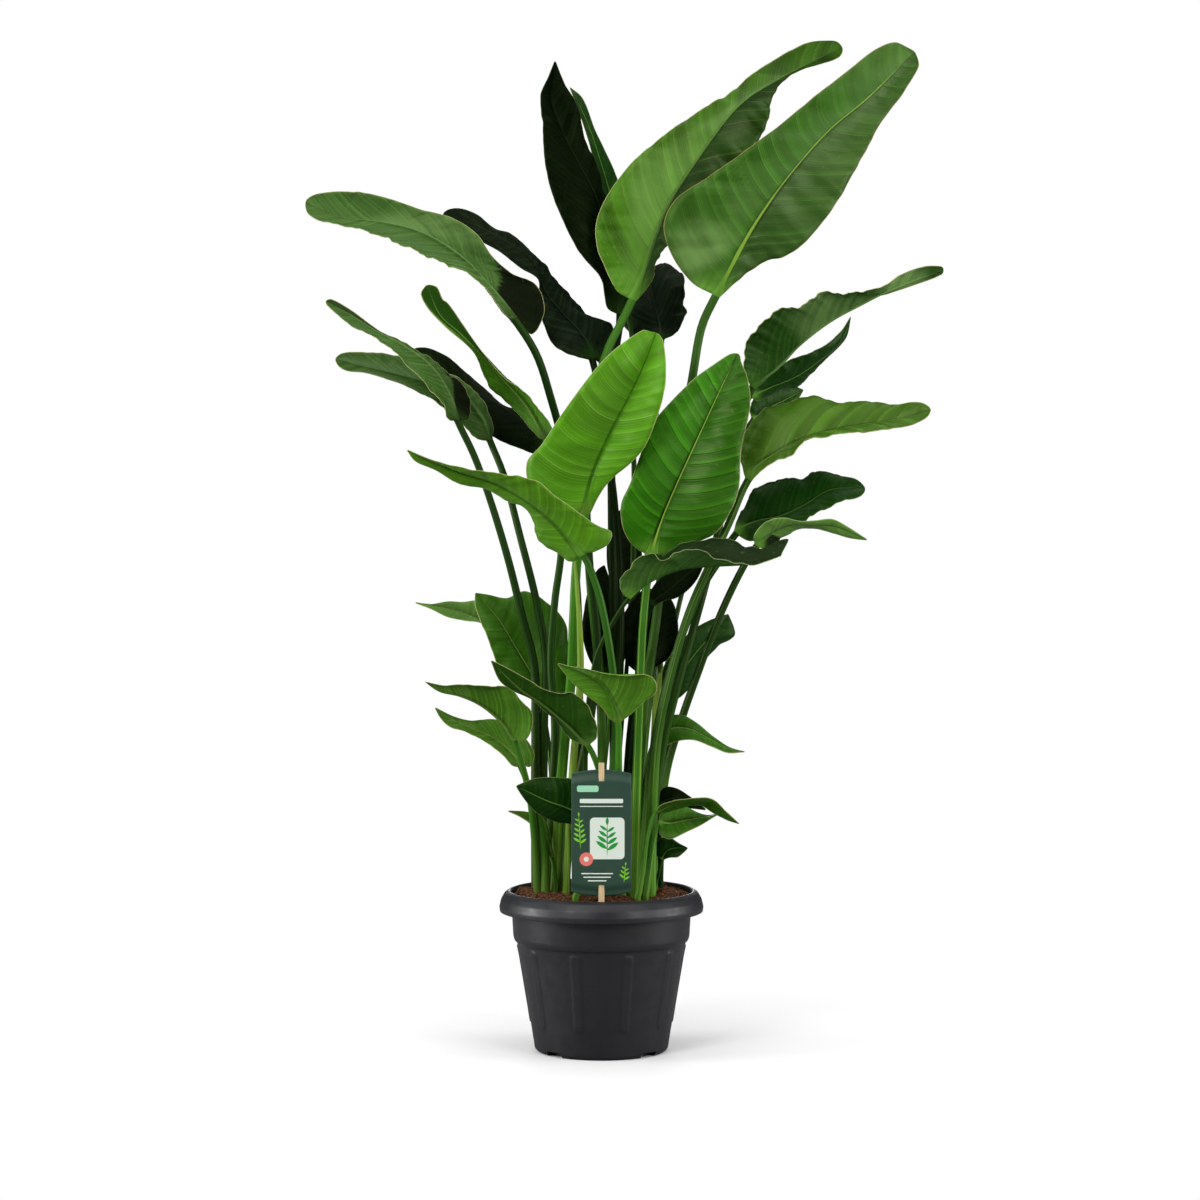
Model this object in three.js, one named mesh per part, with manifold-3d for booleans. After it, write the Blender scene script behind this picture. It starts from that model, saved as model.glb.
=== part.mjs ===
// Potted white bird of paradise (Strelitzia nicolai) in a nursery pot.
// Millimetres, +Z up, the photograph's front towards -Y, origin at the centre of the pot's flat bottom.

import * as THREE from "three";
import { mergeVertices } from "three/addons/utils/BufferGeometryUtils.js";
import Module from "manifold-3d";

const wasm = await Module();
wasm.setup();

// Driving sizes
const POT = {
  rimRadius: 145.5,
  lipTop: 229,
  skirtBottom: 199,
  bandBottom: 158,
  bodyTopRadius: 120.5,
  footRadius: 96.5,
  footHeight: 12,
  bodyTaper: { low: 66, out: 8.5, high: 134, in: 4.2 },
  wall: 2.6,
  floor: 3,
  sides: 36,
};
const RIB = { count: 10, width: 12, flank: 2.2, sunk: 1.2, relief: 1.3, low: 40, high: 151 };
const SLOT = { count: 4, width: 27, height: 7, depth: 14 };
const SOIL = { top: 225, dome: 4, bottom: 12, gap: 0.3, sides: 24 };
const HOLE = { gap: 0.35, sides: 8, above: 20 };
const ROOT_Z = 182;
const COLLAR_Z = 229;
const STICK = { width: 8, thickness: 2, y: -121, top: 421 };
const CARD = {
  width: 83,
  top: 411.5,
  bottom: 235.5,
  arch: 5.5,
  thickness: 1,
  bow: 3.6,
  back: -118.7,
  steps: 3,
};
const CARD_SLOT = { width: 8.7, height: 12, fromEnd: 10 };
const BLADE = {
  thickness: 1.1,
  bulge: 0.09,
  keel: 0.7,
  blend: 0.2,
  tip: 1,
  tipStation: 0.965,
  roundStation: 0.985,
};

// Finishes
const finish = (color, roughness) => new THREE.MeshStandardMaterial({ color, roughness, metalness: 0 });
const FINISH = {
  pot: finish(0x2b2c2f, 0.5),
  soil: finish(0x4a2f22, 0.95),
  card: finish(0x27402f, 0.6),
  stick: finish(0xd9b88f, 0.7),
  leaf: finish(0x4f8f2c, 0.35),
  deepLeaf: finish(0x234a22, 0.4),
  spear: finish(0x9fb24a, 0.45),
};

// Leaves, chosen by hand from the photograph as [x, y, z]. stalk runs from the soil to the blade's base, rib
// from there to the tip, left and right are the margins between base and tip, girth is the stalk's radius at foot
// and neck, and tip is the radius of a round tip. The upper face looks along (right - left) x (towards the tip).
// broad blades get more columns, deep ones a dark green.
const LEAVES = [
  {
    name: "leaf_crown_right",
    broad: true,
    girth: [7.5, 6],
    tip: 12,
    stalk: [[42, -22, 227], [49, -20, 359], [62, -10, 500], [78, 8, 613], [88, 18, 698],
      [101, 18, 784], [115, 16, 869], [130, 14, 962], [143, 8, 1032], [162, -4, 1073]],
    rib: [[195, -28, 1138], [230, -34, 1194], [272, -30, 1250], [322, -10, 1306], [378, 20, 1354],
      [448, 66, 1426]],
    left: [[194, 4, 1100], [225, 8, 1118], [267, 8, 1133], [303, 8, 1164], [343, 14, 1221],
      [397, 36, 1318], [434, 54, 1369], [455, 66, 1405]],
    right: [[135, -2, 1088], [100, -4, 1130], [88, -8, 1172], [104, -10, 1207], [146, -6, 1237],
      [226, 2, 1294], [296, 20, 1351], [354, 42, 1398], [391, 56, 1427], [419, 66, 1439]],
  },
  {
    name: "leaf_crown_left",
    broad: true,
    girth: [7, 6],
    tip: 11,
    stalk: [[-5, 22, 227], [1, 38, 382], [-2, 52, 525], [-16, 50, 669], [-22, 38, 812], [-13, 34, 912],
      [9, 40, 998], [29, 46, 1038], [44, 50, 1070]],
    rib: [[55, 46, 1098], [72, 42, 1148], [95, 42, 1205], [141, 48, 1276], [198, 60, 1349],
      [256, 76, 1389], [348, 108, 1438]],
    left: [[67, 66, 1097], [87, 84, 1141], [142, 96, 1209], [208, 100, 1267], [235, 99, 1317],
      [256, 98, 1381], [287, 102, 1403], [313, 107, 1412], [336, 108, 1419]],
    right: [[27, 48, 1081], [8, 52, 1116], [-5, 56, 1142], [-8, 60, 1178], [5, 64, 1214],
      [45, 70, 1269], [127, 78, 1334], [181, 84, 1367], [233, 92, 1408], [285, 100, 1438],
      [316, 106, 1452], [333, 108, 1455]],
  },
  {
    name: "leaf_crown_dark",
    broad: true,
    deep: true,
    girth: [7, 5.5],
    stalk: [[15, 62, 223], [18, 66, 379], [18, 72, 567], [15, 80, 755], [15, 88, 899], [21, 94, 1000],
      [27, 96, 1052]],
    rib: [[15, 92, 1127], [-6, 88, 1216], [-31, 88, 1266], [-57, 92, 1317], [-73, 100, 1364],
      [-67, 112, 1418]],
    left: [[12, 88, 1061], [1, 74, 1100], [-28, 66, 1134], [-59, 62, 1192], [-79, 64, 1254],
      [-84, 70, 1314], [-87, 82, 1366], [-76, 96, 1395]],
    right: [[39, 110, 1085], [30, 120, 1146], [8, 112, 1218], [-5, 104, 1263], [-25, 100, 1310],
      [-35, 102, 1355], [-53, 108, 1385]],
  },
  {
    name: "leaf_crown_back",
    girth: [5, 3.5],
    stalk: [[-14, 88, 225], [-2, 100, 347], [16, 120, 491], [42, 108, 609], [47, 106, 725],
      [47, 108, 856], [44, 112, 943], [45, 116, 1008], [39, 120, 1059]],
    rib: [[27, 128, 1129], [15, 134, 1213], [-5, 142, 1286], [-24, 152, 1341], [-46, 165, 1387]],
    left: [[53, 136, 1089], [48, 150, 1163], [24, 156, 1251], [5, 158, 1295], [-9, 162, 1324],
      [-28, 168, 1372]],
    right: [[24, 112, 1102], [7, 112, 1167], [-2, 118, 1233], [-17, 128, 1299], [-37, 146, 1360]],
  },
  {
    name: "leaf_left_top",
    broad: true,
    girth: [6.5, 5.5],
    tip: 10,
    stalk: [[-54, 42, 227], [-38, 38, 353], [-16, 34, 469], [-6, 28, 569], [-13, 20, 656],
      [-30, 10, 756], [-52, 0, 855], [-71, -8, 926], [-92, -16, 990], [-123, -25, 1039]],
    rib: [[-161, -32, 1086], [-198, -38, 1125], [-254, -46, 1159], [-309, -58, 1172],
      [-364, -74, 1178], [-412, -95, 1196]],
    left: [[-100, -5, 1017], [-81, 4, 1050], [-91, 2, 1087], [-129, -10, 1106], [-154, -16, 1128],
      [-174, -22, 1157], [-206, -28, 1179], [-254, -40, 1192], [-309, -54, 1209], [-353, -72, 1214],
      [-390, -86, 1210]],
    right: [[-135, -40, 1047], [-156, -50, 1074], [-184, -56, 1099], [-225, -66, 1116],
      [-280, -76, 1140], [-328, -84, 1158], [-365, -90, 1166], [-395, -96, 1173]],
  },
  {
    name: "leaf_left_dark",
    broad: true,
    deep: true,
    girth: [7, 5],
    tip: 6,
    stalk: [[17, 34, 225], [20, 32, 382], [25, 32, 512], [27, 36, 641], [18, 44, 784], [2, 52, 898],
      [-13, 60, 985]],
    rib: [[-31, 64, 1025], [-57, 70, 1054], [-80, 78, 1083], [-94, 88, 1118], [-118, 98, 1145],
      [-147, 108, 1163], [-184, 122, 1183], [-231, 142, 1200]],
    left: [[-22, 46, 987], [-45, 38, 992], [-65, 38, 1002], [-81, 46, 1030], [-91, 60, 1070],
      [-91, 74, 1100], [-117, 88, 1118], [-147, 100, 1142], [-173, 112, 1157], [-212, 134, 1182]],
    right: [[7, 70, 971], [18, 76, 997], [15, 80, 1034], [-14, 84, 1044], [-31, 86, 1060],
      [-51, 88, 1086], [-79, 92, 1118], [-103, 102, 1145], [-128, 110, 1167], [-154, 118, 1177],
      [-182, 126, 1199], [-209, 134, 1208]],
  },
  {
    name: "leaf_crown_low",
    deep: true,
    girth: [5.5, 4],
    tip: 3,
    stalk: [[33, 82, 225], [42, 90, 377], [56, 104, 565], [71, 118, 754], [80, 126, 914],
      [88, 136, 1017]],
    rib: [[86, 150, 1039], [79, 170, 1069], [73, 196, 1100], [72, 226, 1127]],
    left: [[64, 148, 1017], [38, 160, 1032], [24, 176, 1059], [31, 200, 1093], [48, 220, 1124]],
    right: [[103, 126, 1023], [119, 126, 1042], [125, 130, 1058], [119, 136, 1069], [122, 142, 1090],
      [121, 156, 1111], [108, 178, 1124], [90, 206, 1133]],
  },
  {
    name: "leaf_front_left",
    broad: true,
    girth: [8, 6.5],
    tip: 9,
    stalk: [[-65, 4, 226], [-59, -8, 358], [-52, -18, 444], [-43, -32, 530], [-39, -44, 616],
      [-34, -54, 700], [-23, -62, 765]],
    rib: [[-13, -72, 815], [15, -82, 882], [40, -88, 930], [61, -88, 976], [76, -82, 1017]],
    left: [[-50, -58, 762], [-79, -58, 784], [-103, -64, 812], [-104, -74, 838], [-84, -86, 861],
      [-55, -100, 904], [-10, -110, 964], [17, -106, 992], [45, -96, 1013], [60, -88, 1021]],
    right: [[-10, -66, 786], [19, -82, 818], [42, -94, 837], [60, -102, 858], [78, -112, 902],
      [89, -112, 948], [88, -100, 990]],
  },
  {
    name: "leaf_front_right",
    broad: true,
    girth: [7.5, 5.5],
    tip: 6,
    stalk: [[45, -52, 228], [49, -50, 362], [54, -48, 503], [59, -45, 616], [70, -46, 706]],
    rib: [[82, -52, 749], [103, -60, 801], [127, -62, 854], [152, -56, 908], [172, -44, 950],
      [192, -30, 990]],
    left: [[51, -48, 717], [32, -58, 742], [27, -66, 777], [40, -74, 808], [54, -80, 847],
      [70, -80, 889], [96, -72, 921], [131, -56, 955], [161, -40, 977], [178, -34, 988]],
    right: [[94, -48, 710], [124, -56, 721], [157, -66, 736], [175, -72, 759], [191, -76, 796],
      [195, -76, 854], [208, -64, 917], [205, -50, 955], [196, -36, 981]],
  },
  {
    name: "leaf_front_low_left",
    broad: true,
    girth: [6, 5],
    stalk: [[6, -45, 227], [13, -70, 364], [20, -98, 479], [16, -114, 546], [6, -130, 612],
      [-6, -144, 664], [-25, -156, 710]],
    rib: [[-46, -162, 734], [-70, -166, 759], [-104, -172, 785], [-145, -178, 808], [-192, -190, 823],
      [-262, -225, 853]],
    left: [[-36, -150, 703], [-60, -140, 711], [-85, -136, 730], [-101, -148, 769], [-132, -158, 786],
      [-159, -166, 800], [-193, -178, 807], [-226, -196, 826], [-252, -212, 838]],
    right: [[-10, -164, 713], [9, -166, 725], [14, -166, 741], [-5, -168, 750], [-36, -178, 772],
      [-63, -186, 791], [-88, -194, 812], [-124, -202, 818], [-158, -206, 825], [-198, -212, 831],
      [-238, -220, 843]],
  },
  {
    name: "leaf_left_mid",
    girth: [7.5, 4.8],
    tip: 4,
    stalk: [[-93, 42, 227], [-94, 36, 353], [-94, 28, 469], [-96, 20, 548], [-113, 8, 620],
      [-132, -6, 699], [-157, -20, 784], [-180, -28, 848], [-203, -36, 897]],
    rib: [[-213, -40, 928], [-227, -44, 955], [-247, -50, 978], [-282, -58, 1002], [-316, -68, 1020],
      [-350, -80, 1042], [-382, -96, 1060]],
    left: [[-191, -22, 896], [-185, -8, 920], [-198, -2, 948], [-221, -8, 968], [-249, -22, 989],
      [-276, -38, 1005], [-310, -56, 1021], [-350, -78, 1050], [-374, -92, 1063]],
    right: [[-212, -50, 898], [-223, -64, 920], [-253, -76, 954], [-287, -84, 989], [-314, -88, 1010],
      [-342, -92, 1023], [-367, -96, 1042]],
  },
  {
    name: "leaf_left_mid_back",
    girth: [7, 4.8],
    tip: 8,
    stalk: [[-86, 66, 227], [-84, 46, 352], [-82, 30, 469], [-79, 18, 556], [-93, 8, 642],
      [-116, 8, 734], [-139, 14, 820], [-159, 20, 869]],
    rib: [[-171, 16, 901], [-192, 8, 926], [-222, 0, 943], [-264, -10, 955], [-312, -20, 967],
      [-374, -36, 982]],
    left: [[-156, 34, 887], [-164, 42, 915], [-188, 40, 947], [-230, 28, 969], [-275, 12, 986],
      [-314, 0, 992], [-355, -18, 993]],
    right: [[-175, 8, 872], [-203, -6, 897], [-235, -16, 923], [-270, -24, 942], [-298, -28, 953],
      [-333, -32, 963], [-359, -36, 966]],
  },
  {
    name: "leaf_left_twisted",
    girth: [6.5, 4.8],
    tip: 8,
    stalk: [[-75, 28, 226], [-71, 10, 356], [-66, 2, 457], [-72, -2, 557], [-66, -4, 642],
      [-57, -8, 713], [-61, -18, 784], [-70, -24, 834], [-78, -28, 869]],
    rib: [[-103, -36, 916], [-135, -42, 953], [-167, -50, 989], [-198, -60, 1018], [-225, -70, 1042],
      [-242, -86, 1083]],
    left: [[-71, -42, 885], [-87, -52, 910], [-104, -58, 933], [-131, -60, 951], [-153, -60, 974],
      [-173, -58, 1000], [-193, -66, 1029], [-215, -76, 1060], [-220, -80, 1063], [-228, -88, 1080]],
    right: [[-90, -12, 875], [-121, 0, 910], [-152, 0, 937], [-167, -14, 962], [-180, -42, 992],
      [-218, -68, 1026], [-243, -78, 1053], [-251, -84, 1071]],
  },
  {
    name: "leaf_left_shadow",
    deep: true,
    girth: [5, 4],
    tip: 5,
    stalk: [[-35, 66, 228], [-32, 68, 379], [-31, 68, 524], [-34, 74, 654], [-48, 86, 769],
      [-80, 92, 862]],
    rib: [[-106, 96, 891], [-140, 100, 917], [-176, 106, 937], [-213, 116, 958], [-277, 142, 1002]],
    left: [[-92, 80, 851], [-117, 72, 858], [-146, 72, 869], [-169, 78, 882], [-201, 88, 906],
      [-234, 104, 940], [-258, 124, 975]],
    right: [[-75, 106, 873], [-94, 116, 895], [-113, 120, 913], [-133, 120, 914], [-153, 120, 930],
      [-191, 126, 964], [-225, 132, 992], [-253, 138, 1005]],
  },
  {
    name: "leaf_right_top",
    broad: true,
    girth: [6.5, 5.2],
    tip: 5,
    stalk: [[72, -6, 230], [76, -18, 359], [89, -27, 445], [106, -24, 515], [126, -12, 586],
      [146, 6, 656], [164, 22, 727], [181, 38, 812], [198, 44, 884], [216, 46, 944]],
    rib: [[256, 46, 978], [284, 44, 1007], [327, 42, 1040], [372, 42, 1064], [413, 48, 1084],
      [494, 70, 1115]],
    left: [[237, 64, 959], [272, 86, 1000], [313, 94, 1035], [352, 88, 1058], [383, 70, 1071],
      [414, 58, 1080], [450, 62, 1092], [478, 68, 1102]],
    right: [[203, 30, 972], [209, 20, 1010], [222, 14, 1031], [253, 10, 1053], [286, 12, 1062],
      [315, 18, 1078], [371, 30, 1080], [407, 42, 1092], [428, 52, 1106], [464, 62, 1119]],
  },
  {
    name: "leaf_right_top_back",
    deep: true,
    girth: [5.5, 4],
    stalk: [[47, 64, 227], [56, 72, 350], [70, 84, 494], [97, 96, 638], [140, 104, 725],
      [178, 108, 827], [198, 110, 885], [216, 110, 934]],
    rib: [[245, 114, 947], [282, 120, 962], [319, 128, 987], [348, 138, 1012], [365, 152, 1051]],
    left: [[225, 100, 954], [244, 98, 969], [273, 102, 986], [318, 114, 1004], [348, 132, 1028]],
    right: [[226, 116, 929], [246, 126, 936], [267, 134, 945], [290, 140, 950], [308, 142, 969],
      [330, 144, 991], [358, 150, 1020]],
  },
  {
    name: "leaf_right_small_back",
    deep: true,
    girth: [4.5, 3],
    stalk: [[70, 62, 229], [76, 72, 350], [88, 90, 493], [115, 116, 638], [162, 146, 783],
      [201, 160, 864], [222, 168, 901]],
    rib: [[246, 180, 918], [272, 196, 931], [300, 218, 946]],
    left: [[218, 160, 918], [230, 166, 939], [258, 184, 951], [282, 204, 952]],
    right: [[237, 176, 901], [264, 190, 910], [289, 208, 928]],
  },
  {
    name: "leaf_right_pale",
    broad: true,
    girth: [7, 5.2],
    tip: 9,
    stalk: [[70, -42, 228], [73, -42, 361], [80, -48, 454], [99, -58, 546], [124, -62, 630],
      [155, -58, 700], [181, -50, 756], [206, -42, 812]],
    rib: [[230, -40, 839], [272, -42, 864], [321, -48, 881], [376, -58, 891], [417, -70, 898],
      [458, -86, 910]],
    left: [[201, -30, 829], [195, -14, 860], [211, -2, 892], [229, 4, 910], [263, 4, 923],
      [300, -4, 931], [320, -10, 925], [378, -32, 922], [411, -52, 919], [441, -74, 921]],
    right: [[222, -54, 826], [247, -68, 840], [269, -76, 850], [285, -80, 867], [318, -80, 874],
      [353, -80, 878], [402, -84, 883], [435, -88, 890]],
  },
  {
    name: "leaf_right_dark",
    deep: true,
    girth: [6.5, 5],
    tip: 11,
    stalk: [[56, -30, 229], [66, -26, 360], [76, -24, 445], [94, -28, 530], [117, -26, 601],
      [145, -16, 664], [168, -8, 699], [191, 0, 736]],
    rib: [[218, 4, 753], [254, 6, 761], [289, 8, 777], [325, 12, 798], [376, 24, 801]],
    left: [[195, 14, 755], [205, 26, 778], [222, 34, 801], [248, 38, 812], [284, 36, 815],
      [305, 34, 824], [338, 30, 820], [363, 26, 814]],
    right: [[211, -10, 727], [245, -20, 730], [280, -26, 750], [306, -24, 766], [335, -14, 780],
      [363, 6, 787]],
  },
  {
    name: "leaf_right_rolled",
    girth: [6.5, 5],
    stalk: [[78, 26, 229], [87, 26, 354], [95, 24, 405], [118, 20, 481], [138, 8, 539], [157, -4, 592],
      [179, -18, 646], [201, -28, 691], [219, -38, 720]],
    rib: [[237, -42, 735], [265, -50, 748], [299, -56, 749], [327, -60, 747], [371, -74, 729]],
    left: [[216, -46, 732], [224, -52, 748], [239, -58, 758], [260, -61, 759], [278, -62, 755],
      [299, -63, 756], [323, -65, 758], [345, -68, 747]],
    right: [[238, -28, 715], [249, -26, 725], [262, -28, 735], [278, -36, 743], [300, -44, 744],
      [324, -52, 738], [348, -62, 731]],
  },
  {
    name: "leaf_front_long",
    broad: true,
    girth: [4.5, 3],
    stalk: [[-25, -32, 228], [-23, -44, 361], [-22, -58, 447], [-16, -76, 519], [-5, -90, 573],
      [16, -106, 615], [38, -118, 649]],
    rib: [[56, -120, 665], [81, -122, 680], [115, -122, 691], [157, -122, 694], [205, -124, 697],
      [248, -130, 708]],
    left: [[49, -108, 666], [65, -98, 687], [84, -92, 707], [109, -88, 721], [158, -88, 732],
      [200, -90, 722], [231, -98, 719], [259, -106, 732]],
    right: [[30, -134, 655], [27, -150, 675], [43, -166, 700], [65, -172, 711], [81, -174, 703],
      [100, -176, 714], [130, -176, 716], [169, -168, 703], [200, -154, 695], [226, -140, 700]],
  },
  {
    name: "leaf_under_long",
    deep: true,
    girth: [5, 3.5],
    stalk: [[29, 8, 229], [38, 0, 357], [48, -12, 472], [57, -24, 572], [71, -30, 635]],
    rib: [[94, -34, 657], [122, -38, 680], [147, -40, 700]],
    left: [[69, -20, 654], [94, -18, 682], [128, -26, 700]],
    right: [[85, -42, 641], [110, -48, 649], [132, -46, 669]],
  },
  {
    name: "leaf_mid_round",
    deep: true,
    girth: [5.5, 4],
    stalk: [[28, 50, 225], [34, 52, 352], [41, 54, 453], [53, 56, 536]],
    rib: [[63, 62, 570], [73, 72, 607], [79, 90, 656]],
    left: [[36, 66, 550], [27, 74, 581], [33, 82, 621], [56, 88, 650]],
    right: [[73, 46, 542], [96, 44, 557], [109, 50, 583], [110, 60, 611], [102, 76, 639]],
  },
  {
    name: "leaf_mid_dark",
    deep: true,
    girth: [5, 3.5],
    stalk: [[-5, 60, 226], [1, 74, 349], [4, 82, 450], [8, 90, 531]],
    rib: [[13, 96, 580], [11, 108, 635], [4, 128, 688]],
    left: [[-9, 88, 540], [-24, 92, 569], [-27, 100, 612], [-18, 114, 655], [-6, 124, 681]],
    right: [[23, 92, 540], [27, 96, 577], [21, 104, 623], [13, 120, 664]],
  },
  {
    name: "leaf_mid_mottled",
    deep: true,
    girth: [4.5, 3],
    stalk: [[13, 90, 225], [21, 98, 347], [30, 108, 463], [39, 120, 564], [42, 130, 631]],
    rib: [[35, 142, 675], [27, 160, 717], [36, 190, 774]],
    left: [[21, 130, 649], [10, 138, 678], [8, 154, 717], [16, 176, 756]],
    right: [[57, 138, 651], [60, 152, 692], [54, 170, 736], [45, 184, 765]],
  },
  {
    name: "leaf_left_broad",
    broad: true,
    girth: [6, 4.5],
    stalk: [[-59, 78, 227], [-57, 70, 350], [-58, 62, 423], [-71, 52, 484]],
    rib: [[-95, 46, 525], [-124, 40, 574], [-149, 32, 615], [-180, 18, 651]],
    left: [[-97, 38, 497], [-125, 28, 518], [-146, 20, 544], [-160, 14, 580], [-173, 12, 613],
      [-180, 14, 633]],
    right: [[-54, 66, 495], [-45, 84, 552], [-56, 90, 610], [-79, 78, 636], [-109, 62, 653],
      [-134, 48, 642], [-159, 32, 648]],
  },
  {
    name: "leaf_left_tip_back",
    girth: [5, 3.5],
    stalk: [[-66, 94, 226], [-70, 102, 347], [-78, 108, 434], [-95, 110, 507]],
    rib: [[-126, 112, 558], [-156, 112, 594], [-191, 108, 617], [-227, 106, 628], [-271, 108, 634]],
    left: [[-118, 96, 515], [-147, 94, 559], [-172, 96, 603], [-198, 98, 608], [-223, 100, 613],
      [-249, 104, 625]],
    right: [[-84, 126, 549], [-116, 128, 602], [-145, 124, 628], [-177, 118, 637], [-203, 112, 635],
      [-223, 108, 636], [-249, 106, 632]],
  },
  {
    name: "leaf_low_left_upper",
    girth: [6.5, 4.2],
    stalk: [[-90, -18, 228], [-93, -34, 289], [-100, -58, 363], [-111, -76, 414], [-122, -88, 450]],
    rib: [[-137, -92, 473], [-165, -98, 498], [-196, -108, 513], [-224, -118, 520], [-244, -130, 534]],
    left: [[-108, -94, 449], [-98, -104, 465], [-96, -112, 487], [-109, -114, 506], [-127, -112, 523],
      [-157, -114, 527], [-189, -120, 530], [-214, -124, 528]],
    right: [[-129, -74, 474], [-145, -64, 496], [-167, -66, 507], [-193, -80, 519], [-218, -100, 523]],
  },
  {
    name: "leaf_low_left_lower",
    girth: [6, 4.2],
    stalk: [[-79, -24, 227], [-81, -32, 289], [-95, -46, 362], [-105, -52, 388], [-114, -58, 411]],
    rib: [[-131, -60, 433], [-156, -64, 452], [-188, -72, 467], [-212, -80, 479], [-232, -90, 495]],
    left: [[-102, -46, 407], [-95, -34, 428], [-107, -24, 447], [-134, -26, 470], [-161, -40, 476],
      [-181, -52, 474], [-205, -70, 481]],
    right: [[-125, -66, 414], [-143, -74, 432], [-170, -82, 451], [-193, -90, 463], [-211, -94, 468],
      [-225, -94, 482]],
  },
  {
    name: "leaf_low_centre",
    broad: true,
    girth: [5, 4],
    stalk: [[-5, -62, 228], [1, -72, 294], [4, -92, 366], [-6, -108, 417], [-19, -117, 445]],
    rib: [[-37, -122, 465], [-60, -128, 486], [-83, -134, 505], [-109, -142, 523], [-128, -150, 540],
      [-151, -164, 565]],
    left: [[-8, -130, 456], [-8, -142, 479], [-19, -150, 503], [-40, -152, 519], [-61, -148, 521],
      [-78, -148, 524], [-105, -152, 541], [-130, -158, 555]],
    right: [[-33, -106, 449], [-49, -98, 458], [-62, -98, 476], [-76, -108, 490], [-99, -122, 510],
      [-121, -134, 521], [-140, -148, 536]],
  },
  {
    name: "leaf_boat",
    broad: true,
    girth: [6, 4.5],
    stalk: [[29, -62, 228], [27, -76, 294], [26, -94, 366], [24, -112, 417], [24, -126, 450],
      [23, -138, 479]],
    rib: [[15, -150, 507], [1, -164, 532], [-22, -184, 549], [-59, -216, 564]],
    left: [[39, -140, 490], [60, -150, 509], [75, -162, 522], [73, -170, 538], [60, -172, 546],
      [32, -174, 545], [5, -178, 549], [-22, -190, 555], [-45, -206, 560]],
    right: [[13, -140, 485], [-3, -150, 503], [-23, -164, 519], [-40, -182, 536], [-52, -202, 552]],
  },
  {
    name: "leaf_low_dark",
    deep: true,
    girth: [5, 3.5],
    stalk: [[-36, -78, 224], [-27, -82, 267], [-19, -88, 307], [-16, -92, 327]],
    rib: [[-37, -96, 350], [-79, -106, 368], [-118, -124, 389]],
    left: [[-24, -90, 321], [-44, -88, 332], [-63, -92, 335], [-79, -98, 342], [-95, -106, 354],
      [-110, -118, 374]],
    right: [[-12, -90, 349], [-19, -88, 380], [-41, -90, 395], [-72, -100, 399], [-95, -113, 398]],
  },
  {
    name: "leaf_low_tip",
    girth: [4, 3],
    stalk: [[-67, -14, 226], [-66, -13, 244], [-70, -12, 275]],
    rib: [[-80, -10, 308], [-102, -8, 332], [-133, -8, 342]],
    left: [[-83, -18, 290], [-96, -16, 319], [-116, -12, 334]],
    right: [[-72, -6, 306], [-83, 0, 331], [-105, -2, 340]],
  },
  {
    name: "leaf_right_low",
    girth: [5, 3.5],
    stalk: [[59, 2, 229], [59, 4, 299], [62, 4, 385], [76, 4, 439]],
    rib: [[99, -4, 459], [126, -13, 459], [148, -24, 449], [175, -36, 436], [202, -50, 430]],
    left: [[79, 10, 462], [99, 10, 477], [119, 2, 477], [136, -8, 467], [159, -22, 449],
      [184, -38, 434]],
    right: [[83, -10, 429], [100, -18, 440], [129, -30, 445], [156, -38, 436], [178, -46, 428]],
  },
  {
    name: "leaf_low_right_dark",
    deep: true,
    girth: [4, 3],
    stalk: [[85, 6, 229], [84, 8, 284], [81, 2, 325], [83, -6, 349]],
    rib: [[96, -8, 359], [116, -12, 360], [148, -20, 345]],
    left: [[81, 2, 364], [91, 4, 375], [106, 0, 374], [127, -10, 362]],
    right: [[92, -12, 342], [113, -16, 347], [133, -20, 346]],
  },
  {
    name: "leaf_low_right_band",
    girth: [4.5, 3],
    stalk: [[51, -78, 224], [58, -78, 266], [65, -78, 316], [76, -78, 348]],
    rib: [[93, -78, 356], [117, -80, 362], [145, -84, 364], [166, -90, 355], [192, -102, 334]],
    left: [[83, -92, 359], [102, -104, 367], [130, -108, 371], [156, -108, 368], [175, -106, 350]],
    right: [[88, -64, 346], [111, -56, 351], [136, -58, 356], [155, -68, 347], [176, -84, 337]],
  },
  {
    name: "leaf_low_right_face",
    girth: [4.5, 3],
    stalk: [[63, -60, 226], [68, -60, 264], [74, -56, 306], [81, -52, 328]],
    rib: [[99, -50, 329], [125, -50, 334], [146, -52, 338], [168, -56, 344]],
    left: [[84, -42, 343], [101, -32, 352], [120, -30, 350], [134, -36, 344], [150, -46, 340]],
    right: [[82, -58, 315], [95, -64, 308], [119, -68, 319], [138, -66, 327], [157, -60, 338]],
  },
  {
    name: "leaf_low_right_small",
    deep: true,
    girth: [2.6, 2.0],
    stalk: [[75, -24, 226], [79, -26, 246], [86, -30, 275]],
    rib: [[94, -30, 288], [107, -32, 292], [122, -36, 292]],
    left: [[79, -24, 280], [76, -20, 291], [82, -18, 303], [97, -18, 305], [110, -26, 298]],
    right: [[98, -38, 279], [108, -40, 280], [117, -40, 287]],
  },
  {
    name: "leaf_right_mid",
    girth: [4.5, 3.5],
    stalk: [[84, 46, 228], [90, 44, 352], [96, 40, 439], [97, 34, 494]],
    rib: [[113, 32, 533], [136, 38, 566], [159, 48, 591], [183, 64, 619]],
    left: [[87, 22, 512], [88, 20, 544], [105, 22, 571], [128, 32, 596], [155, 48, 611]],
    right: [[114, 40, 503], [130, 48, 518], [148, 56, 551], [167, 62, 573], [193, 66, 589]],
  },
];

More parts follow.
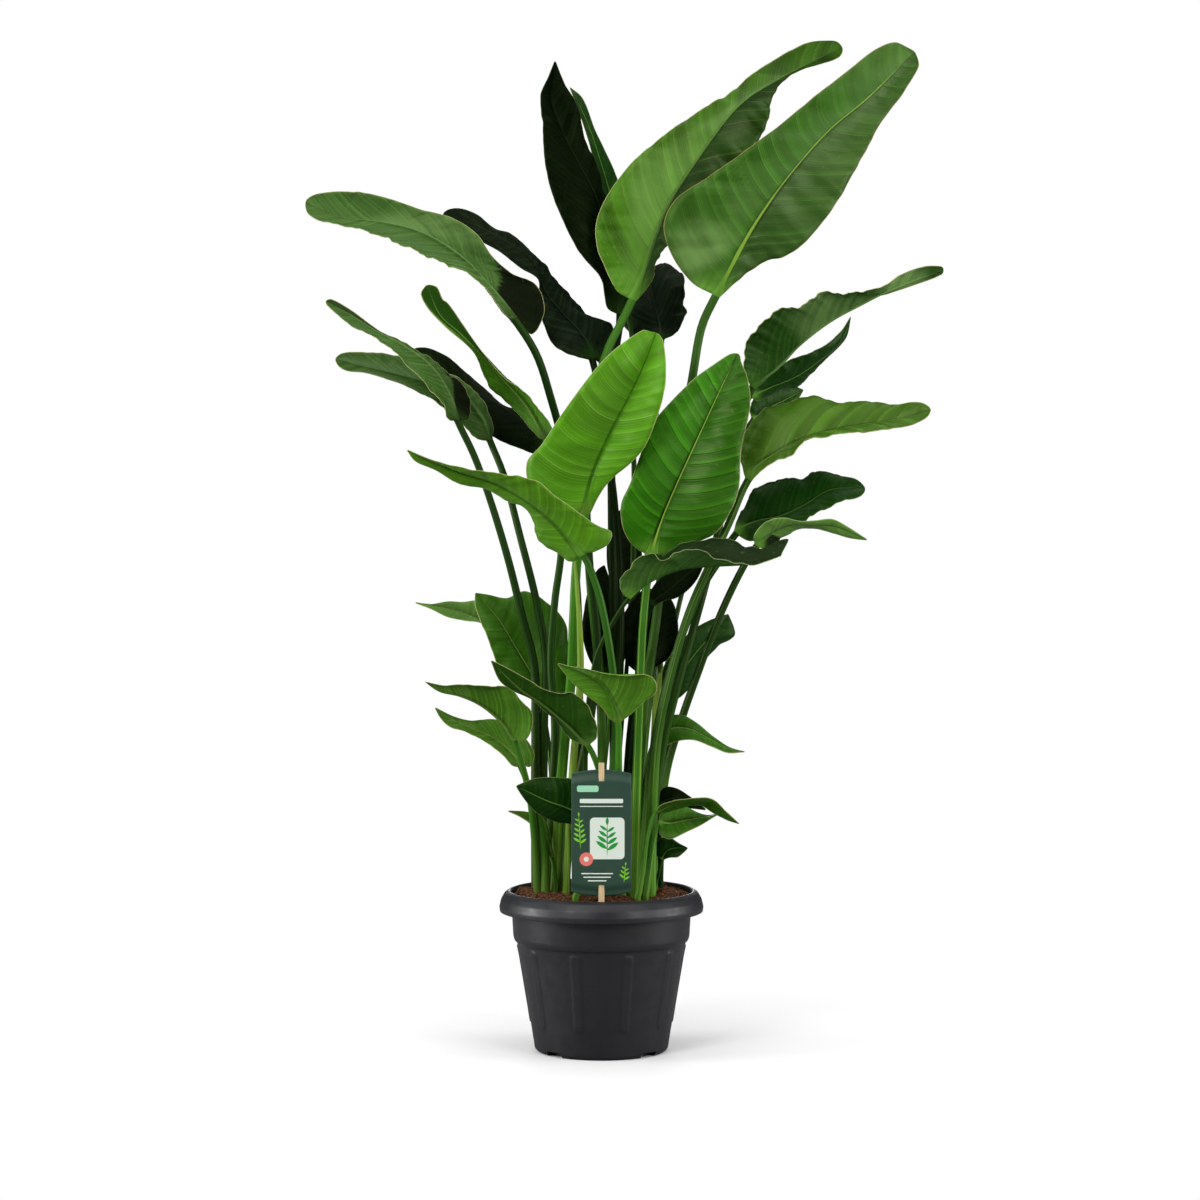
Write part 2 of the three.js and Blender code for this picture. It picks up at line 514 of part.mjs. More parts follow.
const SPEARS = [
  {
    name: "spear_left",
    girth: 6,
    path: [[-50, -18, 226], [-43, -28, 360], [-36, -38, 460], [-30, -48, 531], [-30, -56, 588],
      [-33, -64, 644], [-38, -72, 709]],
  },
  {
    name: "spear_right",
    girth: 8,
    path: [[64, 40, 229], [70, 44, 353], [77, 50, 439], [80, 56, 497], [85, 64, 540], [87, 76, 585]],
  },
];

// Shared mesh helpers

const vector = ([x, y, z]) => new THREE.Vector3(x, y, z);

// One smooth curve through hand-chosen points
const smoothCurve = (points) => new THREE.CatmullRomCurve3(points.map(vector), false, "centripetal");

// Walks a stretch of a curve by its length: 0 gives its start and 1 its end
function pathBetween(curve, from, to) {
  const steps = 160;
  const dense = Array.from({ length: steps + 1 }, (_, k) => curve.getPoint(from + ((to - from) * k) / steps));
  const walked = [0];
  for (let k = 1; k <= steps; k++) walked.push(walked[k - 1] + dense[k].distanceTo(dense[k - 1]));
  return (fraction) => {
    const target = fraction * walked[steps];
    let k = 1;
    while (k < steps && walked[k] < target) k++;
    const part = (target - walked[k - 1]) / Math.max(walked[k] - walked[k - 1], 1e-9);
    return dense[k - 1].clone().lerp(dense[k], part);
  };
}

// Closes a row of equal sections into one skin, with a flat first end and a pointed or flat last end
function skinFromSections(sections, columns, apex) {
  const around = sections[0].length;
  const positions = sections.flat().flatMap((p) => p.toArray());
  const faces = [];
  const at = (row, place) => row * around + (place % around);
  for (let row = 0; row + 1 < sections.length; row++) {
    for (let place = 0; place < around; place++) {
      const [a, b] = [at(row, place), at(row, place + 1)];
      const [c, d] = [at(row + 1, place + 1), at(row + 1, place)];
      // The lower face mirrors the upper one, so its diagonals run the other way round
      if (risesWithPlace(sections, row, place, columns)) faces.push(a, b, c, a, c, d);
      else faces.push(a, b, d, b, c, d);
    }
  }
  for (let place = 1; place + 1 < around; place++) faces.push(at(0, 0), at(0, place + 1), at(0, place));
  const last = sections.length - 1;
  if (apex) {
    positions.push(...apex.toArray());
    const tip = positions.length / 3 - 1;
    for (let place = 0; place < around; place++) faces.push(at(last, place), at(last, place + 1), tip);
  } else {
    for (let place = 1; place + 1 < around; place++) {
      faces.push(at(last, 0), at(last, place), at(last, place + 1));
    }
  }
  return facingOut(positions, faces);
}

// Picks the shorter diagonal of the upper face's quad and uses the same one below it
function risesWithPlace(sections, row, place, columns) {
  const around = sections[0].length;
  const upper = (index) => (index < columns ? index : around - 1 - index);
  const next = (place + 1) % around;
  const [i, k] = [upper(place), upper(next)];
  if (i === k) return true;
  const [low, high] = [Math.min(i, k), Math.max(i, k)];
  const rising = sections[row][low].distanceTo(sections[row + 1][high]);
  const falling = sections[row][high].distanceTo(sections[row + 1][low]);
  const risingIsShorter = rising <= falling;
  return i < k ? risingIsShorter : !risingIsShorter;
}

function facingOut(positions, faces) {
  const geometry = new THREE.BufferGeometry();
  geometry.setAttribute("position", new THREE.Float32BufferAttribute(positions, 3));
  const corner = (index) => new THREE.Vector3().fromArray(positions, 3 * index);
  let volume = 0;
  for (let f = 0; f < faces.length; f += 3) {
    volume += corner(faces[f]).dot(corner(faces[f + 1]).cross(corner(faces[f + 2])));
  }
  if (volume < 0) faces.reverse();
  geometry.setIndex(faces);
  return geometry;
}

function solidOf(geometry) {
  const bare = geometry.clone();
  bare.deleteAttribute("normal");
  bare.deleteAttribute("uv");
  const merged = mergeVertices(bare, 1e-3);
  const mesh = new wasm.Mesh({
    numProp: 3,
    vertProperties: new Float32Array(merged.attributes.position.array),
    triVerts: new Uint32Array(merged.index.array),
  });
  return new wasm.Manifold(mesh);
}

function geometryOf(solid) {
  const { vertProperties, triVerts } = solid.getMesh();
  const geometry = new THREE.BufferGeometry();
  geometry.setAttribute("position", new THREE.Float32BufferAttribute(Array.from(vertProperties), 3));
  geometry.setIndex(Array.from(triVerts));
  return geometry;
}

function lathe(profile, sides) {
  const geometry = new THREE.LatheGeometry(profile.map(([r, z]) => new THREE.Vector2(r, z)), sides);
  return geometry.rotateX(Math.PI / 2);
}

function prism(radius, sides, low, high) {
  const geometry = new THREE.CylinderGeometry(radius, radius, high - low, sides);
  return geometry.rotateX(Math.PI / 2).translate(0, 0, (low + high) / 2);
}

// Leaf: one skin from the foot in the soil to the tip, round at the stalk and flat at the blade

// Stations of the blade as fractions of the midrib, closer together at both ends
function bladeStations(count, last) {
  return Array.from({ length: count }, (_, k) => {
    const x = (last * (k + 1)) / count;
    return 0.5 * x + 0.25 * (1 - Math.cos(Math.PI * x));
  });
}

// Places across the blade, from the left margin (-1) over the midrib (0) to the right margin (1)
const PLACES = { slim: [-1, -0.5, 0, 0.5, 1], broad: [-1, -0.56, -0.13, 0, 0.13, 0.56, 1] };

// A half's cross line runs from the midrib to its margin and arches up by a share of its length
function bladePoint(place, rib, tangent, margin) {
  const chord = margin.clone().sub(rib);
  const across = chord.clone().addScaledVector(tangent, -chord.dot(tangent));
  const lift = across.clone().cross(tangent).multiplyScalar(Math.sign(place));
  if (lift.length() > 1e-6) lift.normalize();
  const out = Math.abs(place);
  const arch = BLADE.bulge * chord.length() * Math.sin(Math.PI * out);
  return rib.clone().addScaledVector(chord, out).addScaledVector(lift, arch);
}

// The share of the width that a round tip takes away: a quarter circle over the last stretch of the midrib
function tipRounding(fraction, tipShare) {
  const into = Math.max(0, (fraction - 1 + tipShare) / tipShare);
  return 1 - Math.sqrt(Math.max(0, 1 - into * into));
}

function tangentAt(path, fraction) {
  const step = 0.02;
  const ahead = path(Math.min(fraction + step, 1));
  return ahead.sub(path(Math.max(fraction - step, 0))).normalize();
}

// Keeps a side direction square to a tangent
function squared(side, tangent) {
  return side.clone().addScaledVector(tangent, -side.dot(tangent)).normalize();
}

function ring(centre, side, up, radius, angles) {
  return angles.map((angle) => {
    const point = centre.clone().addScaledVector(side, radius * Math.cos(angle));
    return point.addScaledVector(up, radius * Math.sin(angle));
  });
}

function leafGeometry(leaf) {
  const places = leaf.broad ? PLACES.broad : PLACES.slim;
  const columns = places.length;
  const around = 2 * columns;
  const angles = Array.from({ length: around }, (_, k) => Math.PI - (Math.PI * (2 * k + 1)) / around);
  const guide = smoothCurve([...leaf.stalk, ...leaf.rib]);
  const baseAt = (leaf.stalk.length - 1) / (leaf.stalk.length + leaf.rib.length - 1);
  const stalkPath = pathBetween(guide, 0, baseAt);
  const ribPath = pathBetween(guide, baseAt, 1);
  const [base, tip] = [leaf.stalk.at(-1), leaf.rib.at(-1)];
  const tipRadius = leaf.tip ?? BLADE.tip;
  const tipSide = squared(vector(leaf.right.at(-1)).sub(vector(leaf.left.at(-1))), tangentAt(ribPath, 1));
  const marginPath = (points, way) => {
    const end = vector(tip).addScaledVector(tipSide, way * tipRadius);
    return pathBetween(smoothCurve([base, ...points, end]), 0, 1);
  };
  const [leftPath, rightPath] = [marginPath(leaf.left, -1), marginPath(leaf.right, 1)];
  const tipShare = tipRadius / vector(leaf.rib[0]).distanceTo(vector(tip));

  // Middle surface of the blade
  const stations = bladeStations(leaf.broad ? 10 : 7, leaf.tip ? BLADE.roundStation : BLADE.tipStation);
  const middle = stations.map((t) => {
    const [rib, tangent] = [ribPath(t), tangentAt(ribPath, t)];
    const taken = tipRounding(t, tipShare);
    const [left, right] = [leftPath(t).lerp(rib, taken), rightPath(t).lerp(rib, taken)];
    return places.map((place) => bladePoint(place, rib, tangent, place < 0 ? left : right));
  });
  const baseRow = places.map(() => vector(base));
  const tipRow = places.map(() => vector(tip));
  const rows = [baseRow, ...middle, tipRow];

  // Stalk frames are carried down from the blade so that the skin doesn't twist
  const [footRadius, neckRadius] = leaf.girth;
  const stalkSteps = Math.max(3, Math.min(leaf.broad ? 6 : 5, Math.ceil(0.6 * leaf.stalk.length)));
  let side = middle[0][columns - 1].clone().sub(middle[0][0]);
  const stalkRings = [];
  for (let k = stalkSteps; k >= 0; k--) {
    const fraction = k / stalkSteps;
    const tangent = k === 0 ? new THREE.Vector3(0, 0, 1) : tangentAt(stalkPath, fraction);
    side = squared(side, tangent);
    const up = side.clone().cross(tangent);
    const radius = neckRadius + (footRadius - neckRadius) * (1 - fraction) ** 1.4;
    const centre = stalkPath(fraction);
    if (k === 0) centre.z = COLLAR_Z;
    stalkRings.unshift(ring(centre, side, up, radius, angles));
    if (k === 0) {
      centre.z = ROOT_Z;
      stalkRings.unshift(ring(centre, side, up, radius, angles));
    }
  }

  // Blade sections: thin at the margins, keeled under the midrib, blended into the round stalk
  const bladeRings = middle.map((row, j) => {
    const t = stations[j];
    const tangent = tangentAt(ribPath, t);
    const sideways = squared(row[columns - 1].clone().sub(row[0]), tangent);
    const up = sideways.clone().cross(tangent);
    const round = ring(new THREE.Vector3(), sideways, up, neckRadius, angles);
    const flatness = THREE.MathUtils.smoothstep(t, 0, BLADE.blend);
    const keel = BLADE.keel * neckRadius * (1 - t) ** 0.8;
    return angles.map((_, k) => {
      const below = k >= columns;
      const i = below ? around - 1 - k : k;
      const acrossRow = row[Math.min(i + 1, columns - 1)].clone().sub(row[Math.max(i - 1, 0)]);
      const alongRow = rows[j + 2][i].clone().sub(rows[j][i]);
      const normal = acrossRow.cross(alongRow).normalize();
      const half = BLADE.thickness / 2 + (below ? keelShare(places[i]) * keel : 0);
      const flat = normal.multiplyScalar(below ? -half : half);
      return row[i].clone().add(round[k].clone().lerp(flat, flatness));
    });
  });
  return skinFromSections([...stalkRings, ...bladeRings], columns, vector(tip));
}

// The keel stands full under the midrib and is gone a little way out
function keelShare(place) {
  if (place === 0) return 1;
  return Math.abs(place) < 0.2 ? 0.35 : 0;
}

// Rolled young leaf: a tapering spear
function spearGeometry(spear) {
  const sides = 8;
  const angles = Array.from({ length: sides }, (_, k) => (2 * Math.PI * k) / sides);
  const path = pathBetween(smoothCurve(spear.path), 0, 1);
  const steps = 8;
  const rings = [];
  for (let k = 0; k < steps; k++) {
    const fraction = k / steps;
    const tangent = k === 0 ? new THREE.Vector3(0, 0, 1) : tangentAt(path, fraction);
    const side = squared(new THREE.Vector3(1, 0, 0), tangent);
    const up = side.clone().cross(tangent);
    const radius = spear.girth * Math.sqrt(1 - fraction ** 3);
    const centre = path(fraction);
    if (k === 0) {
      centre.z = ROOT_Z;
      rings.push(ring(centre, side, up, radius, angles));
      centre.z = COLLAR_Z;
    }
    rings.push(ring(centre, side, up, radius, angles));
  }
  return skinFromSections(rings, sides / 2, path(1));
}

// Pot: lathed wall with a hollow rolled lip, vertical ribs and drain slots at the foot

function potGeometry() {
  const { rimRadius, lipTop, skirtBottom, bandBottom } = POT;
  const { bodyTopRadius, footRadius, footHeight, bodyTaper, wall, floor } = POT;
  const lowRadius = footRadius + bodyTaper.out;
  const highRadius = bodyTopRadius - bodyTaper.in;
  const outside = [
    [0, 0],
    [footRadius - 5, 0],
    [footRadius - 1.2, 4],
    [footRadius, footHeight],
    [lowRadius, bodyTaper.low],
    [highRadius, bodyTaper.high],
    [bodyTopRadius, bandBottom - 3],
    [bodyTopRadius + 3.5, bandBottom],
    [bodyTopRadius + 5.2, bandBottom + 6],
    [bodyTopRadius + 7, skirtBottom - 3],
    [bodyTopRadius + 8, lipTop - 15],
  ];
  const lip = [
    [rimRadius - 12, lipTop - 9],
    [rimRadius - 5.5, lipTop - 15],
    [rimRadius - 3.2, skirtBottom],
    [rimRadius - 0.7, skirtBottom],
    [rimRadius, skirtBottom + 7],
    [rimRadius - 2.4, lipTop - 13],
    [rimRadius - 7.5, lipTop - 4],
    [rimRadius - 14, lipTop],
    [rimRadius - 16.4, lipTop - 2],
  ];
  const inside = [
    [bodyTopRadius + 5.6, lipTop - 16],
    [bodyTopRadius + 2.4, bandBottom + 3],
    [bodyTopRadius - wall, bandBottom - 5],
    [highRadius - wall, bodyTaper.high],
    [lowRadius - wall, bodyTaper.low],
    [footRadius - wall, footHeight],
    [footRadius - wall - 3, floor + 2],
    [footRadius - 9, floor],
    [0, floor],
  ];
  let pot = solidOf(lathe([...outside, ...lip, ...inside], POT.sides));
  for (let k = 0; k < RIB.count; k++) {
    const bar = potRib().rotateZ((k * 2 * Math.PI) / RIB.count);
    pot = pot.add(solidOf(bar));
  }
  for (let k = 0; k < SLOT.count; k++) {
    const slot = new THREE.BoxGeometry(2 * SLOT.depth, SLOT.width, 2 * SLOT.height);
    slot.translate(footRadius, 0, 0).rotateZ(((k + 0.5) * 2 * Math.PI) / SLOT.count);
    pot = pot.subtract(solidOf(slot));
  }
  return geometryOf(pot);
}

// Flat bar that follows the wall's slope and stands proud of it by the relief
function potRib() {
  const { low, out, high } = POT.bodyTaper;
  const lowRadius = POT.footRadius + out;
  const slope = (POT.bodyTopRadius - POT.bodyTaper.in - lowRadius) / (high - low);
  const surface = (z) => lowRadius + slope * (z - low);
  const inner = RIB.width / 2 + RIB.flank;
  const bar = (z) => [
    [surface(z) - RIB.sunk, -inner, z],
    [surface(z) + RIB.relief, -RIB.width / 2, z],
    [surface(z) + RIB.relief, RIB.width / 2, z],
    [surface(z) - RIB.sunk, inner, z],
  ];
  const sections = [bar(RIB.low), bar(RIB.high)].map((section) => section.map(vector));
  return skinFromSections(sections, 2, null);
}

function soilGeometry(holes) {
  const { top, dome, bottom, gap, sides } = SOIL;
  const { low, out, high } = POT.bodyTaper;
  const wall = POT.wall + gap;
  const profile = [
    [0, bottom],
    [POT.footRadius - wall - 1, bottom],
    [POT.footRadius + out - wall - 1, low],
    [POT.bodyTopRadius - POT.bodyTaper.in - wall - 1, high],
    [POT.bodyTopRadius - wall - 1, POT.bandBottom - 7],
    [POT.bodyTopRadius + 1.2, POT.bandBottom + 5],
    [POT.bodyTopRadius + 4.6, POT.lipTop - 16],
    [POT.bodyTopRadius + 5.6, top - 4],
    [POT.bodyTopRadius - 14, top],
    [0, top + dome],
  ];
  let soil = solidOf(lathe(profile, sides));
  const cuts = holes.map(({ x, y, radius }) =>
    solidOf(prism(radius, HOLE.sides, ROOT_Z - HOLE.gap, top + HOLE.above).translate(x, y, 0)));
  cuts.push(solidOf(stickHole()));
  soil = soil.subtract(wasm.Manifold.union(cuts));
  return geometryOf(soil);
}

// Plant label: a bowed card threaded on a flat wooden stick through two slots

function stickGeometry() {
  const stick = new THREE.BoxGeometry(STICK.width, STICK.thickness, STICK.top - ROOT_Z);
  return stick.translate(0, STICK.y, (STICK.top + ROOT_Z) / 2);
}

function stickHole() {
  const room = 2 * HOLE.gap;
  const mouth = SOIL.top + HOLE.above;
  const hole = new THREE.BoxGeometry(STICK.width + room, STICK.thickness + room, mouth - ROOT_Z);
  return hole.translate(0, STICK.y, (mouth + ROOT_Z) / 2 - HOLE.gap);
}

// Behind the stick at both ends and in front of it between the slots
function cardGeometry() {
  const { width, top, bottom, arch, thickness, bow, back, steps } = CARD;
  const places = [-1, -0.5, 0, 0.5, 1];
  const slotStart = CARD_SLOT.fromEnd - CARD_SLOT.height / 2;
  const slotEnd = CARD_SLOT.fromEnd + CARD_SLOT.height / 2;
  const length = top - bottom;
  const climb = Array.from({ length: steps + 1 }, (_, k) => slotStart + (CARD_SLOT.height * k) / steps);
  const lower = [0, ...climb];
  const heights = [...lower, length / 2, ...lower.toReversed().map((height) => length - height)];
  const sections = heights.map((rise) => {
    const share = rise / length;
    const fromEnd = Math.min(rise, length - rise);
    const forward = bow * THREE.MathUtils.smoothstep(fromEnd, slotStart, slotEnd);
    const point = (place, face) => {
      const dip = arch * place * place * (2 * share - 1);
      return new THREE.Vector3((place * width) / 2, back - forward - face, bottom + rise - dip);
    };
    const front = places.map((place) => point(place, thickness));
    return [...front, ...places.toReversed().map((place) => point(place, 0))];
  });
  const sheet = solidOf(skinFromSections(sections, places.length, null));
  const slots = [bottom + CARD_SLOT.fromEnd, top - CARD_SLOT.fromEnd].map((z) =>
    solidOf(new THREE.BoxGeometry(CARD_SLOT.width, 40, CARD_SLOT.height).translate(0, back, z)));
  return geometryOf(sheet.subtract(wasm.Manifold.union(slots)));
}

// Assembly

function named(name, geometry, material) {
  const mesh = new THREE.Mesh(geometry, material);
  mesh.name = name;
  return mesh;
}

// A hole clears the flats and corners of the foot that stands in it
const holeFor = ([x, y], radius) => ({ x, y, radius: (radius + HOLE.gap) / Math.cos(Math.PI / HOLE.sides) });

const plant = new THREE.Group();
const holes = [
  ...LEAVES.map((leaf) => holeFor(leaf.stalk[0], leaf.girth[0])),
  ...SPEARS.map((spear) => holeFor(spear.path[0], spear.girth)),
];
plant.add(named("pot", potGeometry(), FINISH.pot));
plant.add(named("soil", soilGeometry(holes), FINISH.soil));
for (const leaf of LEAVES) {
  plant.add(named(leaf.name, leafGeometry(leaf), leaf.deep ? FINISH.deepLeaf : FINISH.leaf));
}
for (const spear of SPEARS) plant.add(named(spear.name, spearGeometry(spear), FINISH.spear));
plant.add(named("label_card", cardGeometry(), FINISH.card));
plant.add(named("label_stick", stickGeometry(), FINISH.stick));

export default plant;
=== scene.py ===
"""Potted white bird of paradise: fine leaves, pot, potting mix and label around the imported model.

Sizes are in millimetres and become metres where a mesh is made. +Z is up and the front is -Y.
"""

import math

import bpy
import numpy as np
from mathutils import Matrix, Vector


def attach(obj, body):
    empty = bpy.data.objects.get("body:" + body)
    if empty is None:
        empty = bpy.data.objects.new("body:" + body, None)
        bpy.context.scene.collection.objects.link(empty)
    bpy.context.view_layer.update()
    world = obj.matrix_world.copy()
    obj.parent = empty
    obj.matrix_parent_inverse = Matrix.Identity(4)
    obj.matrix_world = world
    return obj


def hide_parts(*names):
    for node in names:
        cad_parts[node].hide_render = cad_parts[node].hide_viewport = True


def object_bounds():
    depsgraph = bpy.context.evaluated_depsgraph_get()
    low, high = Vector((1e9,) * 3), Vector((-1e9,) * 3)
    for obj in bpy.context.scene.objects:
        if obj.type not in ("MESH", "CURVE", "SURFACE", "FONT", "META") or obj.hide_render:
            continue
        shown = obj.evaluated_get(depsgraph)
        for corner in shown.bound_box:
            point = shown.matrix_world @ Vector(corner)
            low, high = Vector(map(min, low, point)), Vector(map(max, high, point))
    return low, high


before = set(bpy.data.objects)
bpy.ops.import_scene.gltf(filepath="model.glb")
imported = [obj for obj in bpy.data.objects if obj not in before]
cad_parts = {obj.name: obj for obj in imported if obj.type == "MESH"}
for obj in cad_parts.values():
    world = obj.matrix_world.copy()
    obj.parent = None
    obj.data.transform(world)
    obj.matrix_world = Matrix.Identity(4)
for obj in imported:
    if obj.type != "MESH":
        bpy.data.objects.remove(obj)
CAD_BOX = [list(corner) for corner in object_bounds()]

MM = 0.001
TURN = 2 * math.pi
BOX_EASE = 9
FIRST_SEED = {"leaf": 100, "spear": 200}

# Camera, from the ellipses of the pot's rim, skirt and foot
CAMERA = {"place": (-2, -4500, 814), "aim": (-2, 0, 642), "sensor": 36, "lens": 95.07}

# Leaf blade and stalk
BLADE = {
    "half_thickness": 0.5, "bulge": 0.09, "keel": 0.72, "keel_depth": 1.15, "blend": 0.2, "columns": 25,
    "row_step": 2.6, "rows": (34, 190), "crowd": 1.35,
    "tip": 1, "tip_station": 0.992, "round_station": 0.9985,
}
PLEAT = {"least": 6, "step": 0.021, "slant": 0.4, "sweep": 0.22, "depth": 0.5, "crest": 0.84}
RUFFLE = {"size": 1.2, "wave": 70, "swell": 1.5, "swell_wave": 110}
STALK = {
    "row_step": 13, "rows": 12, "root": 182, "collar": 229, "taper": 1.4,
    "groove": 0.2, "groove_half": 0.42, "lip": 0.07, "lip_at": 0.78, "lip_half": 0.2,
}
SPEAR = {"around": 32, "rows": 90, "overlap": 0.16, "climb": 1.2, "end": 0.995}

# Pot
POT = {
    "rim": 145.5, "lip_top": 229, "skirt_low": 199, "band_low": 158, "body_top": 120.5,
    "foot": 96.5, "foot_high": 12, "taper_low": 66, "taper_out": 8.5, "taper_high": 134, "taper_in": 4.2,
    "wall": 2.6, "floor": 3, "sides": 360, "row_step": 2.6, "inner_row_step": 9,
}
RIB = {
    "count": 10, "width": 12, "relief": 1.3, "low": 40, "high": 151, "flank": (0.6, 2.2), "at_radius": 110,
}
DRAIN = {"count": 4, "width": 27, "height": 7, "depth": 14}

# Potting mix, and the sizes of its crumbs for each length of wave
SOIL = {
    "top": 225, "dome": 4, "bottom": 12, "gap": 0.3, "edge": POT["body_top"] + 5, "margin": 16, "sink": 2.5,
    "sides": 300, "rows": 100,
}
CRUMBS = {90: 2.2, 38: 1.5, 19: 1.1, 11: 0.8, 7: 0.6}

# Label
STICK = {"width": 8, "thickness": 2, "corner": 0.7, "y": -121, "top": 421, "root": 182}
CARD = {"width": 83, "top": 411.5, "bottom": 235.5, "arch": 5.5, "thickness": 1, "bow": 3.6, "back": -118.7}
CARD_SLOT = {"width": 8.7, "height": 12, "from_end": 10}

# Floor and light
FLOOR = {"radius": 4000, "sides": 96, "fade_from": 260, "fade_to": 640}
WORLD_LIGHT = 0.08

# Lamps as place and aim in metres, side of the square and power
LAMPS = {
    "key_left": ((-1.9, -3.0, 2.3), (0, 0, 0.7), 1.3, 62),
    "fill_right": ((2.2, -2.4, 1.5), (0, 0, 0.6), 1.5, 34),
    "side_left": ((-2.6, -0.3, 0.7), (0, 0, 0.4), 1.2, 48),
    "side_right": ((2.6, -0.3, 0.7), (0, 0, 0.4), 1.2, 34),
    "overhead": ((0, -0.4, 4.2), (0, 0, 0), 6.0, 190),
    "back": ((0, 3.2, 1.3), (0, 0, 0.9), 1.4, 24),
}

